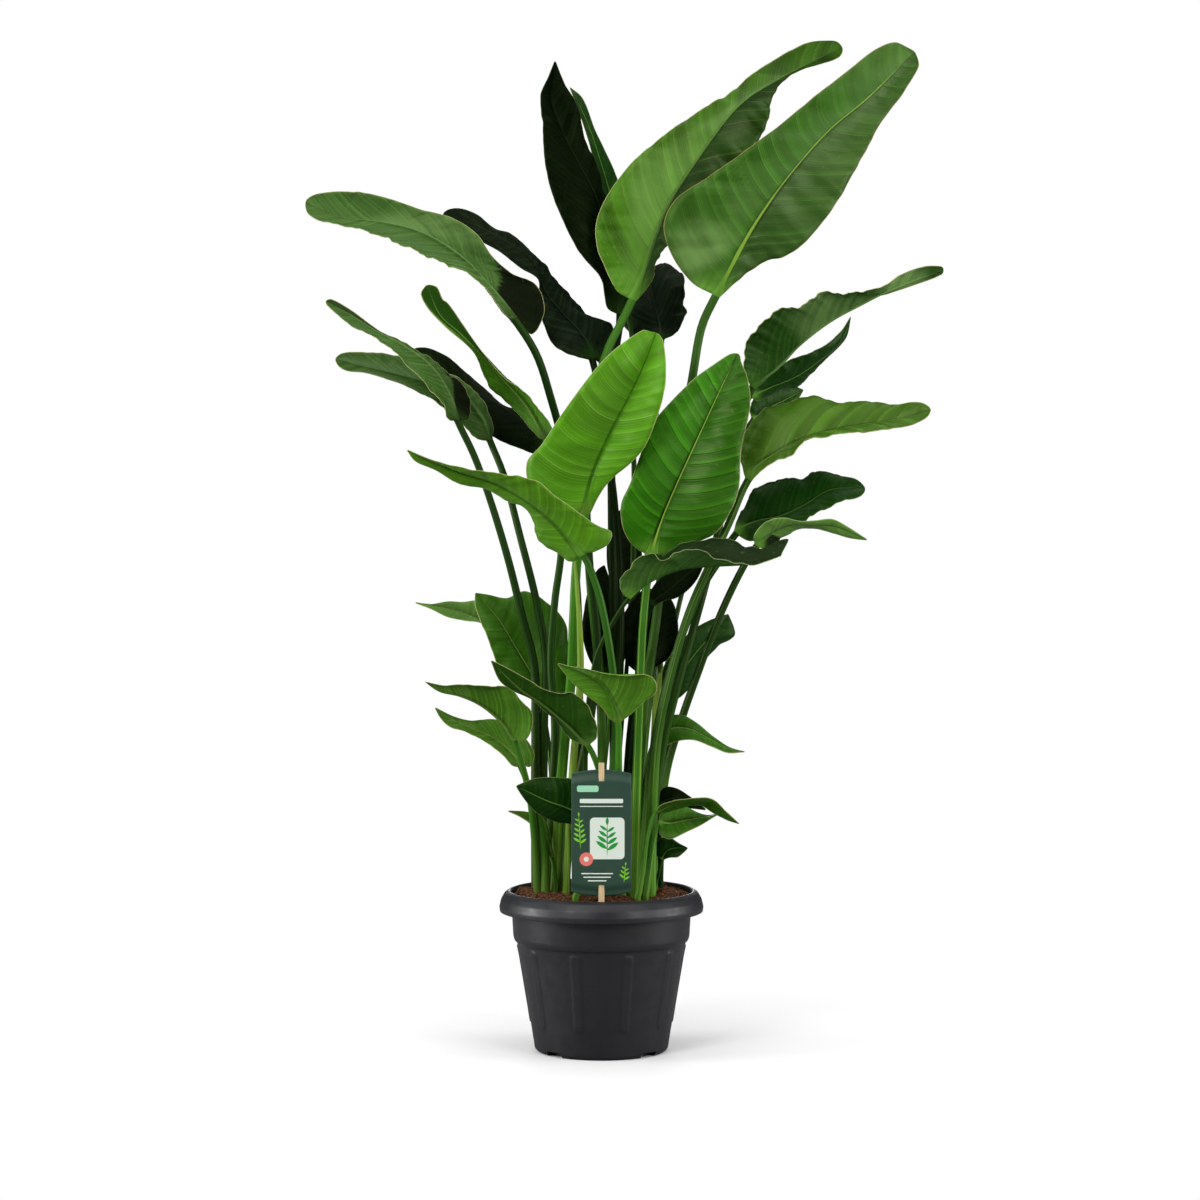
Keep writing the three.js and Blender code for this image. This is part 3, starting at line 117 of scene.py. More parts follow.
# Leaves as points (x, y, z): stalk from the soil to the blade's base, rib from there to the tip, and
# the left and right margins between base and tip. girth is the stalk's radius at foot and neck.
LEAVES = {
    "crown_right": {
        "girth": (7.5, 6), "tip": 12,
        "stalk": [(42, -22, 227), (49, -20, 359), (62, -10, 500), (78, 8, 613), (88, 18, 698),
          (101, 18, 784), (115, 16, 869), (130, 14, 962), (143, 8, 1032), (162, -4, 1073)],
        "rib": [(195, -28, 1138), (230, -34, 1194), (272, -30, 1250), (322, -10, 1306), (378, 20, 1354),
          (448, 66, 1426)],
        "left": [(194, 4, 1100), (225, 8, 1118), (267, 8, 1133), (303, 8, 1164), (343, 14, 1221),
          (397, 36, 1318), (434, 54, 1369), (455, 66, 1405)],
        "right": [(135, -2, 1088), (100, -4, 1130), (88, -8, 1172), (104, -10, 1207), (146, -6, 1237),
          (226, 2, 1294), (296, 20, 1351), (354, 42, 1398), (391, 56, 1427), (419, 66, 1439)],
    },
    "crown_left": {
        "girth": (7, 6), "tip": 11,
        "stalk": [(-5, 22, 227), (1, 38, 382), (-2, 52, 525), (-16, 50, 669), (-22, 38, 812),
          (-13, 34, 912), (9, 40, 998), (29, 46, 1038), (44, 50, 1070)],
        "rib": [(55, 46, 1098), (72, 42, 1148), (95, 42, 1205), (141, 48, 1276), (198, 60, 1349),
          (256, 76, 1389), (348, 108, 1438)],
        "left": [(67, 66, 1097), (87, 84, 1141), (142, 96, 1209), (208, 100, 1267), (235, 99, 1317),
          (256, 98, 1381), (287, 102, 1403), (313, 107, 1412), (336, 108, 1419)],
        "right": [(27, 48, 1081), (8, 52, 1116), (-5, 56, 1142), (-8, 60, 1178), (5, 64, 1214),
          (45, 70, 1269), (127, 78, 1334), (181, 84, 1367), (233, 92, 1408), (285, 100, 1438),
          (316, 106, 1452), (333, 108, 1455)],
    },
    "crown_dark": {
        "girth": (7, 5.5),
        "stalk": [(15, 62, 223), (18, 66, 379), (18, 72, 567), (15, 80, 755), (15, 88, 899),
          (21, 94, 1000), (27, 96, 1052)],
        "rib": [(15, 92, 1127), (-6, 88, 1216), (-31, 88, 1266), (-57, 92, 1317), (-73, 100, 1364),
          (-67, 112, 1418)],
        "left": [(12, 88, 1061), (1, 74, 1100), (-28, 66, 1134), (-59, 62, 1192), (-79, 64, 1254),
          (-84, 70, 1314), (-87, 82, 1366), (-76, 96, 1395)],
        "right": [(39, 110, 1085), (30, 120, 1146), (8, 112, 1218), (-5, 104, 1263), (-25, 100, 1310),
          (-35, 102, 1355), (-53, 108, 1385)],
    },
    "crown_back": {
        "girth": (5, 3.5),
        "stalk": [(-14, 88, 225), (-2, 100, 347), (16, 120, 491), (42, 108, 609), (47, 106, 725),
          (47, 108, 856), (44, 112, 943), (45, 116, 1008), (39, 120, 1059)],
        "rib": [(27, 128, 1129), (15, 134, 1213), (-5, 142, 1286), (-24, 152, 1341), (-46, 165, 1387)],
        "left": [(53, 136, 1089), (48, 150, 1163), (24, 156, 1251), (5, 158, 1295), (-9, 162, 1324),
          (-28, 168, 1372)],
        "right": [(24, 112, 1102), (7, 112, 1167), (-2, 118, 1233), (-17, 128, 1299), (-37, 146, 1360)],
    },
    "left_top": {
        "girth": (6.5, 5.5), "tip": 10,
        "stalk": [(-54, 42, 227), (-38, 38, 353), (-16, 34, 469), (-6, 28, 569), (-13, 20, 656),
          (-30, 10, 756), (-52, 0, 855), (-71, -8, 926), (-92, -16, 990), (-123, -25, 1039)],
        "rib": [(-161, -32, 1086), (-198, -38, 1125), (-254, -46, 1159), (-309, -58, 1172),
          (-364, -74, 1178), (-412, -95, 1196)],
        "left": [(-100, -5, 1017), (-81, 4, 1050), (-91, 2, 1087), (-129, -10, 1106), (-154, -16, 1128),
          (-174, -22, 1157), (-206, -28, 1179), (-254, -40, 1192), (-309, -54, 1209), (-353, -72, 1214),
          (-390, -86, 1210)],
        "right": [(-135, -40, 1047), (-156, -50, 1074), (-184, -56, 1099), (-225, -66, 1116),
          (-280, -76, 1140), (-328, -84, 1158), (-365, -90, 1166), (-395, -96, 1173)],
    },
    "left_dark": {
        "girth": (7, 5), "tip": 6,
        "stalk": [(17, 34, 225), (20, 32, 382), (25, 32, 512), (27, 36, 641), (18, 44, 784), (2, 52, 898),
          (-13, 60, 985)],
        "rib": [(-31, 64, 1025), (-57, 70, 1054), (-80, 78, 1083), (-94, 88, 1118), (-118, 98, 1145),
          (-147, 108, 1163), (-184, 122, 1183), (-231, 142, 1200)],
        "left": [(-22, 46, 987), (-45, 38, 992), (-65, 38, 1002), (-81, 46, 1030), (-91, 60, 1070),
          (-91, 74, 1100), (-117, 88, 1118), (-147, 100, 1142), (-173, 112, 1157), (-212, 134, 1182)],
        "right": [(7, 70, 971), (18, 76, 997), (15, 80, 1034), (-14, 84, 1044), (-31, 86, 1060),
          (-51, 88, 1086), (-79, 92, 1118), (-103, 102, 1145), (-128, 110, 1167), (-154, 118, 1177),
          (-182, 126, 1199), (-209, 134, 1208)],
    },
    "crown_low": {
        "girth": (5.5, 4), "tip": 3,
        "stalk": [(33, 82, 225), (42, 90, 377), (56, 104, 565), (71, 118, 754), (80, 126, 914),
          (88, 136, 1017)],
        "rib": [(86, 150, 1039), (79, 170, 1069), (73, 196, 1100), (72, 226, 1127)],
        "left": [(64, 148, 1017), (38, 160, 1032), (24, 176, 1059), (31, 200, 1093), (48, 220, 1124)],
        "right": [(103, 126, 1023), (119, 126, 1042), (125, 130, 1058), (119, 136, 1069), (122, 142, 1090),
          (121, 156, 1111), (108, 178, 1124), (90, 206, 1133)],
    },
    "front_left": {
        "girth": (8, 6.5), "tip": 9,
        "stalk": [(-65, 4, 226), (-59, -8, 358), (-52, -18, 444), (-43, -32, 530), (-39, -44, 616),
          (-34, -54, 700), (-23, -62, 765)],
        "rib": [(-13, -72, 815), (15, -82, 882), (40, -88, 930), (61, -88, 976), (76, -82, 1017)],
        "left": [(-50, -58, 762), (-79, -58, 784), (-103, -64, 812), (-104, -74, 838), (-84, -86, 861),
          (-55, -100, 904), (-10, -110, 964), (17, -106, 992), (45, -96, 1013), (60, -88, 1021)],
        "right": [(-10, -66, 786), (19, -82, 818), (42, -94, 837), (60, -102, 858), (78, -112, 902),
          (89, -112, 948), (88, -100, 990)],
    },
    "front_right": {
        "girth": (7.5, 5.5), "tip": 6,
        "stalk": [(45, -52, 228), (49, -50, 362), (54, -48, 503), (59, -45, 616), (70, -46, 706)],
        "rib": [(82, -52, 749), (103, -60, 801), (127, -62, 854), (152, -56, 908), (172, -44, 950),
          (192, -30, 990)],
        "left": [(51, -48, 717), (32, -58, 742), (27, -66, 777), (40, -74, 808), (54, -80, 847),
          (70, -80, 889), (96, -72, 921), (131, -56, 955), (161, -40, 977), (178, -34, 988)],
        "right": [(94, -48, 710), (124, -56, 721), (157, -66, 736), (175, -72, 759), (191, -76, 796),
          (195, -76, 854), (208, -64, 917), (205, -50, 955), (196, -36, 981)],
    },
    "front_low_left": {
        "girth": (6, 5),
        "stalk": [(6, -45, 227), (13, -70, 364), (20, -98, 479), (16, -114, 546), (6, -130, 612),
          (-6, -144, 664), (-25, -156, 710)],
        "rib": [(-46, -162, 734), (-70, -166, 759), (-104, -172, 785), (-145, -178, 808),
          (-192, -190, 823), (-262, -225, 853)],
        "left": [(-36, -150, 703), (-60, -140, 711), (-85, -136, 730), (-101, -148, 769),
          (-132, -158, 786), (-159, -166, 800), (-193, -178, 807), (-226, -196, 826), (-252, -212, 838)],
        "right": [(-10, -164, 713), (9, -166, 725), (14, -166, 741), (-5, -168, 750), (-36, -178, 772),
          (-63, -186, 791), (-88, -194, 812), (-124, -202, 818), (-158, -206, 825), (-198, -212, 831),
          (-238, -220, 843)],
    },
    "left_mid": {
        "girth": (7.5, 4.8), "tip": 4,
        "stalk": [(-93, 42, 227), (-94, 36, 353), (-94, 28, 469), (-96, 20, 548), (-113, 8, 620),
          (-132, -6, 699), (-157, -20, 784), (-180, -28, 848), (-203, -36, 897)],
        "rib": [(-213, -40, 928), (-227, -44, 955), (-247, -50, 978), (-282, -58, 1002), (-316, -68, 1020),
          (-350, -80, 1042), (-382, -96, 1060)],
        "left": [(-191, -22, 896), (-185, -8, 920), (-198, -2, 948), (-221, -8, 968), (-249, -22, 989),
          (-276, -38, 1005), (-310, -56, 1021), (-350, -78, 1050), (-374, -92, 1063)],
        "right": [(-212, -50, 898), (-223, -64, 920), (-253, -76, 954), (-287, -84, 989),
          (-314, -88, 1010), (-342, -92, 1023), (-367, -96, 1042)],
    },
    "left_mid_back": {
        "girth": (7, 4.8), "tip": 8,
        "stalk": [(-86, 66, 227), (-84, 46, 352), (-82, 30, 469), (-79, 18, 556), (-93, 8, 642),
          (-116, 8, 734), (-139, 14, 820), (-159, 20, 869)],
        "rib": [(-171, 16, 901), (-192, 8, 926), (-222, 0, 943), (-264, -10, 955), (-312, -20, 967),
          (-374, -36, 982)],
        "left": [(-156, 34, 887), (-164, 42, 915), (-188, 40, 947), (-230, 28, 969), (-275, 12, 986),
          (-314, 0, 992), (-355, -18, 993)],
        "right": [(-175, 8, 872), (-203, -6, 897), (-235, -16, 923), (-270, -24, 942), (-298, -28, 953),
          (-333, -32, 963), (-359, -36, 966)],
    },
    "left_twisted": {
        "girth": (6.5, 4.8), "tip": 8,
        "stalk": [(-75, 28, 226), (-71, 10, 356), (-66, 2, 457), (-72, -2, 557), (-66, -4, 642),
          (-57, -8, 713), (-61, -18, 784), (-70, -24, 834), (-78, -28, 869)],
        "rib": [(-103, -36, 916), (-135, -42, 953), (-167, -50, 989), (-198, -60, 1018), (-225, -70, 1042),
          (-242, -86, 1083)],
        "left": [(-71, -42, 885), (-87, -52, 910), (-104, -58, 933), (-131, -60, 951), (-153, -60, 974),
          (-173, -58, 1000), (-193, -66, 1029), (-215, -76, 1060), (-220, -80, 1063), (-228, -88, 1080)],
        "right": [(-90, -12, 875), (-121, 0, 910), (-152, 0, 937), (-167, -14, 962), (-180, -42, 992),
          (-218, -68, 1026), (-243, -78, 1053), (-251, -84, 1071)],
    },
    "left_shadow": {
        "girth": (5, 4), "tip": 5,
        "stalk": [(-35, 66, 228), (-32, 68, 379), (-31, 68, 524), (-34, 74, 654), (-48, 86, 769),
          (-80, 92, 862)],
        "rib": [(-106, 96, 891), (-140, 100, 917), (-176, 106, 937), (-213, 116, 958), (-277, 142, 1002)],
        "left": [(-92, 80, 851), (-117, 72, 858), (-146, 72, 869), (-169, 78, 882), (-201, 88, 906),
          (-234, 104, 940), (-258, 124, 975)],
        "right": [(-75, 106, 873), (-94, 116, 895), (-113, 120, 913), (-133, 120, 914), (-153, 120, 930),
          (-191, 126, 964), (-225, 132, 992), (-253, 138, 1005)],
    },
    "right_top": {
        "girth": (6.5, 5.2), "tip": 5,
        "stalk": [(72, -6, 230), (76, -18, 359), (89, -27, 445), (106, -24, 515), (126, -12, 586),
          (146, 6, 656), (164, 22, 727), (181, 38, 812), (198, 44, 884), (216, 46, 944)],
        "rib": [(256, 46, 978), (284, 44, 1007), (327, 42, 1040), (372, 42, 1064), (413, 48, 1084),
          (494, 70, 1115)],
        "left": [(237, 64, 959), (272, 86, 1000), (313, 94, 1035), (352, 88, 1058), (383, 70, 1071),
          (414, 58, 1080), (450, 62, 1092), (478, 68, 1102)],
        "right": [(203, 30, 972), (209, 20, 1010), (222, 14, 1031), (253, 10, 1053), (286, 12, 1062),
          (315, 18, 1078), (371, 30, 1080), (407, 42, 1092), (428, 52, 1106), (464, 62, 1119)],
    },
    "right_top_back": {
        "girth": (5.5, 4),
        "stalk": [(47, 64, 227), (56, 72, 350), (70, 84, 494), (97, 96, 638), (140, 104, 725),
          (178, 108, 827), (198, 110, 885), (216, 110, 934)],
        "rib": [(245, 114, 947), (282, 120, 962), (319, 128, 987), (348, 138, 1012), (365, 152, 1051)],
        "left": [(225, 100, 954), (244, 98, 969), (273, 102, 986), (318, 114, 1004), (348, 132, 1028)],
        "right": [(226, 116, 929), (246, 126, 936), (267, 134, 945), (290, 140, 950), (308, 142, 969),
          (330, 144, 991), (358, 150, 1020)],
    },
    "right_small_back": {
        "girth": (4.5, 3),
        "stalk": [(70, 62, 229), (76, 72, 350), (88, 90, 493), (115, 116, 638), (162, 146, 783),
          (201, 160, 864), (222, 168, 901)],
        "rib": [(246, 180, 918), (272, 196, 931), (300, 218, 946)],
        "left": [(218, 160, 918), (230, 166, 939), (258, 184, 951), (282, 204, 952)],
        "right": [(237, 176, 901), (264, 190, 910), (289, 208, 928)],
    },
    "right_pale": {
        "girth": (7, 5.2), "tip": 9,
        "stalk": [(70, -42, 228), (73, -42, 361), (80, -48, 454), (99, -58, 546), (124, -62, 630),
          (155, -58, 700), (181, -50, 756), (206, -42, 812)],
        "rib": [(230, -40, 839), (272, -42, 864), (321, -48, 881), (376, -58, 891), (417, -70, 898),
          (458, -86, 910)],
        "left": [(201, -30, 829), (195, -14, 860), (211, -2, 892), (229, 4, 910), (263, 4, 923),
          (300, -4, 931), (320, -10, 925), (378, -32, 922), (411, -52, 919), (441, -74, 921)],
        "right": [(222, -54, 826), (247, -68, 840), (269, -76, 850), (285, -80, 867), (318, -80, 874),
          (353, -80, 878), (402, -84, 883), (435, -88, 890)],
    },
    "right_dark": {
        "girth": (6.5, 5), "tip": 11,
        "stalk": [(56, -30, 229), (66, -26, 360), (76, -24, 445), (94, -28, 530), (117, -26, 601),
          (145, -16, 664), (168, -8, 699), (191, 0, 736)],
        "rib": [(218, 4, 753), (254, 6, 761), (289, 8, 777), (325, 12, 798), (376, 24, 801)],
        "left": [(195, 14, 755), (205, 26, 778), (222, 34, 801), (248, 38, 812), (284, 36, 815),
          (305, 34, 824), (338, 30, 820), (363, 26, 814)],
        "right": [(211, -10, 727), (245, -20, 730), (280, -26, 750), (306, -24, 766), (335, -14, 780),
          (363, 6, 787)],
    },
    "right_rolled": {
        "girth": (6.5, 5),
        "stalk": [(78, 26, 229), (87, 26, 354), (95, 24, 405), (118, 20, 481), (138, 8, 539),
          (157, -4, 592), (179, -18, 646), (201, -28, 691), (219, -38, 720)],
        "rib": [(237, -42, 735), (265, -50, 748), (299, -56, 749), (327, -60, 747), (371, -74, 729)],
        "left": [(216, -46, 732), (224, -52, 748), (239, -58, 758), (260, -61, 759), (278, -62, 755),
          (299, -63, 756), (323, -65, 758), (345, -68, 747)],
        "right": [(238, -28, 715), (249, -26, 725), (262, -28, 735), (278, -36, 743), (300, -44, 744),
          (324, -52, 738), (348, -62, 731)],
    },
    "front_long": {
        "girth": (4.5, 3),
        "stalk": [(-25, -32, 228), (-23, -44, 361), (-22, -58, 447), (-16, -76, 519), (-5, -90, 573),
          (16, -106, 615), (38, -118, 649)],
        "rib": [(56, -120, 665), (81, -122, 680), (115, -122, 691), (157, -122, 694), (205, -124, 697),
          (248, -130, 708)],
        "left": [(49, -108, 666), (65, -98, 687), (84, -92, 707), (109, -88, 721), (158, -88, 732),
          (200, -90, 722), (231, -98, 719), (259, -106, 732)],
        "right": [(30, -134, 655), (27, -150, 675), (43, -166, 700), (65, -172, 711), (81, -174, 703),
          (100, -176, 714), (130, -176, 716), (169, -168, 703), (200, -154, 695), (226, -140, 700)],
    },
    "under_long": {
        "girth": (5, 3.5),
        "stalk": [(29, 8, 229), (38, 0, 357), (48, -12, 472), (57, -24, 572), (71, -30, 635)],
        "rib": [(94, -34, 657), (122, -38, 680), (147, -40, 700)],
        "left": [(69, -20, 654), (94, -18, 682), (128, -26, 700)],
        "right": [(85, -42, 641), (110, -48, 649), (132, -46, 669)],
    },
    "mid_round": {
        "girth": (5.5, 4),
        "stalk": [(28, 50, 225), (34, 52, 352), (41, 54, 453), (53, 56, 536)],
        "rib": [(63, 62, 570), (73, 72, 607), (79, 90, 656)],
        "left": [(36, 66, 550), (27, 74, 581), (33, 82, 621), (56, 88, 650)],
        "right": [(73, 46, 542), (96, 44, 557), (109, 50, 583), (110, 60, 611), (102, 76, 639)],
    },
    "mid_dark": {
        "girth": (5, 3.5),
        "stalk": [(-5, 60, 226), (1, 74, 349), (4, 82, 450), (8, 90, 531)],
        "rib": [(13, 96, 580), (11, 108, 635), (4, 128, 688)],
        "left": [(-9, 88, 540), (-24, 92, 569), (-27, 100, 612), (-18, 114, 655), (-6, 124, 681)],
        "right": [(23, 92, 540), (27, 96, 577), (21, 104, 623), (13, 120, 664)],
    },
    "mid_mottled": {
        "girth": (4.5, 3),
        "stalk": [(13, 90, 225), (21, 98, 347), (30, 108, 463), (39, 120, 564), (42, 130, 631)],
        "rib": [(35, 142, 675), (27, 160, 717), (36, 190, 774)],
        "left": [(21, 130, 649), (10, 138, 678), (8, 154, 717), (16, 176, 756)],
        "right": [(57, 138, 651), (60, 152, 692), (54, 170, 736), (45, 184, 765)],
    },
    "left_broad": {
        "girth": (6, 4.5),
        "stalk": [(-59, 78, 227), (-57, 70, 350), (-58, 62, 423), (-71, 52, 484)],
        "rib": [(-95, 46, 525), (-124, 40, 574), (-149, 32, 615), (-180, 18, 651)],
        "left": [(-97, 38, 497), (-125, 28, 518), (-146, 20, 544), (-160, 14, 580), (-173, 12, 613),
          (-180, 14, 633)],
        "right": [(-54, 66, 495), (-45, 84, 552), (-56, 90, 610), (-79, 78, 636), (-109, 62, 653),
          (-134, 48, 642), (-159, 32, 648)],
    },
    "left_tip_back": {
        "girth": (5, 3.5),
        "stalk": [(-66, 94, 226), (-70, 102, 347), (-78, 108, 434), (-95, 110, 507)],
        "rib": [(-126, 112, 558), (-156, 112, 594), (-191, 108, 617), (-227, 106, 628), (-271, 108, 634)],
        "left": [(-118, 96, 515), (-147, 94, 559), (-172, 96, 603), (-198, 98, 608), (-223, 100, 613),
          (-249, 104, 625)],
        "right": [(-84, 126, 549), (-116, 128, 602), (-145, 124, 628), (-177, 118, 637), (-203, 112, 635),
          (-223, 108, 636), (-249, 106, 632)],
    },
    "low_left_upper": {
        "girth": (6.5, 4.2),
        "stalk": [(-90, -18, 228), (-93, -34, 289), (-100, -58, 363), (-111, -76, 414), (-122, -88, 450)],
        "rib": [(-137, -92, 473), (-165, -98, 498), (-196, -108, 513), (-224, -118, 520),
          (-244, -130, 534)],
        "left": [(-108, -94, 449), (-98, -104, 465), (-96, -112, 487), (-109, -114, 506),
          (-127, -112, 523), (-157, -114, 527), (-189, -120, 530), (-214, -124, 528)],
        "right": [(-129, -74, 474), (-145, -64, 496), (-167, -66, 507), (-193, -80, 519),
          (-218, -100, 523)],
    },
    "low_left_lower": {
        "girth": (6, 4.2),
        "stalk": [(-79, -24, 227), (-81, -32, 289), (-95, -46, 362), (-105, -52, 388), (-114, -58, 411)],
        "rib": [(-131, -60, 433), (-156, -64, 452), (-188, -72, 467), (-212, -80, 479), (-232, -90, 495)],
        "left": [(-102, -46, 407), (-95, -34, 428), (-107, -24, 447), (-134, -26, 470), (-161, -40, 476),
          (-181, -52, 474), (-205, -70, 481)],
        "right": [(-125, -66, 414), (-143, -74, 432), (-170, -82, 451), (-193, -90, 463), (-211, -94, 468),
          (-225, -94, 482)],
    },
    "low_centre": {
        "girth": (5, 4),
        "stalk": [(-5, -62, 228), (1, -72, 294), (4, -92, 366), (-6, -108, 417), (-19, -117, 445)],
        "rib": [(-37, -122, 465), (-60, -128, 486), (-83, -134, 505), (-109, -142, 523), (-128, -150, 540),
          (-151, -164, 565)],
        "left": [(-8, -130, 456), (-8, -142, 479), (-19, -150, 503), (-40, -152, 519), (-61, -148, 521),
          (-78, -148, 524), (-105, -152, 541), (-130, -158, 555)],
        "right": [(-33, -106, 449), (-49, -98, 458), (-62, -98, 476), (-76, -108, 490), (-99, -122, 510),
          (-121, -134, 521), (-140, -148, 536)],
    },
    "boat": {
        "girth": (6, 4.5),
        "stalk": [(29, -62, 228), (27, -76, 294), (26, -94, 366), (24, -112, 417), (24, -126, 450),
          (23, -138, 479)],
        "rib": [(15, -150, 507), (1, -164, 532), (-22, -184, 549), (-59, -216, 564)],
        "left": [(39, -140, 490), (60, -150, 509), (75, -162, 522), (73, -170, 538), (60, -172, 546),
          (32, -174, 545), (5, -178, 549), (-22, -190, 555), (-45, -206, 560)],
        "right": [(13, -140, 485), (-3, -150, 503), (-23, -164, 519), (-40, -182, 536), (-52, -202, 552)],
    },
    "low_dark": {
        "girth": (5, 3.5),
        "stalk": [(-36, -78, 224), (-27, -82, 267), (-19, -88, 307), (-16, -92, 327)],
        "rib": [(-37, -96, 350), (-79, -106, 368), (-118, -124, 389)],
        "left": [(-24, -90, 321), (-44, -88, 332), (-63, -92, 335), (-79, -98, 342), (-95, -106, 354),
          (-110, -118, 374)],
        "right": [(-12, -90, 349), (-19, -88, 380), (-41, -90, 395), (-72, -100, 399), (-95, -113, 398)],
    },
    "low_tip": {
        "girth": (4, 3),
        "stalk": [(-67, -14, 226), (-66, -13, 244), (-70, -12, 275)],
        "rib": [(-80, -10, 308), (-102, -8, 332), (-133, -8, 342)],
        "left": [(-83, -18, 290), (-96, -16, 319), (-116, -12, 334)],
        "right": [(-72, -6, 306), (-83, 0, 331), (-105, -2, 340)],
    },
    "right_low": {
        "girth": (5, 3.5),
        "stalk": [(59, 2, 229), (59, 4, 299), (62, 4, 385), (76, 4, 439)],
        "rib": [(99, -4, 459), (126, -13, 459), (148, -24, 449), (175, -36, 436), (202, -50, 430)],
        "left": [(79, 10, 462), (99, 10, 477), (119, 2, 477), (136, -8, 467), (159, -22, 449),
          (184, -38, 434)],
        "right": [(83, -10, 429), (100, -18, 440), (129, -30, 445), (156, -38, 436), (178, -46, 428)],
    },
    "low_right_dark": {
        "girth": (4, 3),
        "stalk": [(85, 6, 229), (84, 8, 284), (81, 2, 325), (83, -6, 349)],
        "rib": [(96, -8, 359), (116, -12, 360), (148, -20, 345)],
        "left": [(81, 2, 364), (91, 4, 375), (106, 0, 374), (127, -10, 362)],
        "right": [(92, -12, 342), (113, -16, 347), (133, -20, 346)],
    },
    "low_right_band": {
        "girth": (4.5, 3),
        "stalk": [(51, -78, 224), (58, -78, 266), (65, -78, 316), (76, -78, 348)],
        "rib": [(93, -78, 356), (117, -80, 362), (145, -84, 364), (166, -90, 355), (192, -102, 334)],
        "left": [(83, -92, 359), (102, -104, 367), (130, -108, 371), (156, -108, 368), (175, -106, 350)],
        "right": [(88, -64, 346), (111, -56, 351), (136, -58, 356), (155, -68, 347), (176, -84, 337)],
    },
    "low_right_face": {
        "girth": (4.5, 3),
        "stalk": [(63, -60, 226), (68, -60, 264), (74, -56, 306), (81, -52, 328)],
        "rib": [(99, -50, 329), (125, -50, 334), (146, -52, 338), (168, -56, 344)],
        "left": [(84, -42, 343), (101, -32, 352), (120, -30, 350), (134, -36, 344), (150, -46, 340)],
        "right": [(82, -58, 315), (95, -64, 308), (119, -68, 319), (138, -66, 327), (157, -60, 338)],
    },
    "low_right_small": {
        "girth": (2.6, 2.0),
        "stalk": [(75, -24, 226), (79, -26, 246), (86, -30, 275)],
        "rib": [(94, -30, 288), (107, -32, 292), (122, -36, 292)],
        "left": [(79, -24, 280), (76, -20, 291), (82, -18, 303), (97, -18, 305), (110, -26, 298)],
        "right": [(98, -38, 279), (108, -40, 280), (117, -40, 287)],
    },
    "right_mid": {
        "girth": (4.5, 3.5),
        "stalk": [(84, 46, 228), (90, 44, 352), (96, 40, 439), (97, 34, 494)],
        "rib": [(113, 32, 533), (136, 38, 566), (159, 48, 591), (183, 64, 619)],
        "left": [(87, 22, 512), (88, 20, 544), (105, 22, 571), (128, 32, 596), (155, 48, 611)],
        "right": [(114, 40, 503), (130, 48, 518), (148, 56, 551), (167, 62, 573), (193, 66, 589)],
    },
}

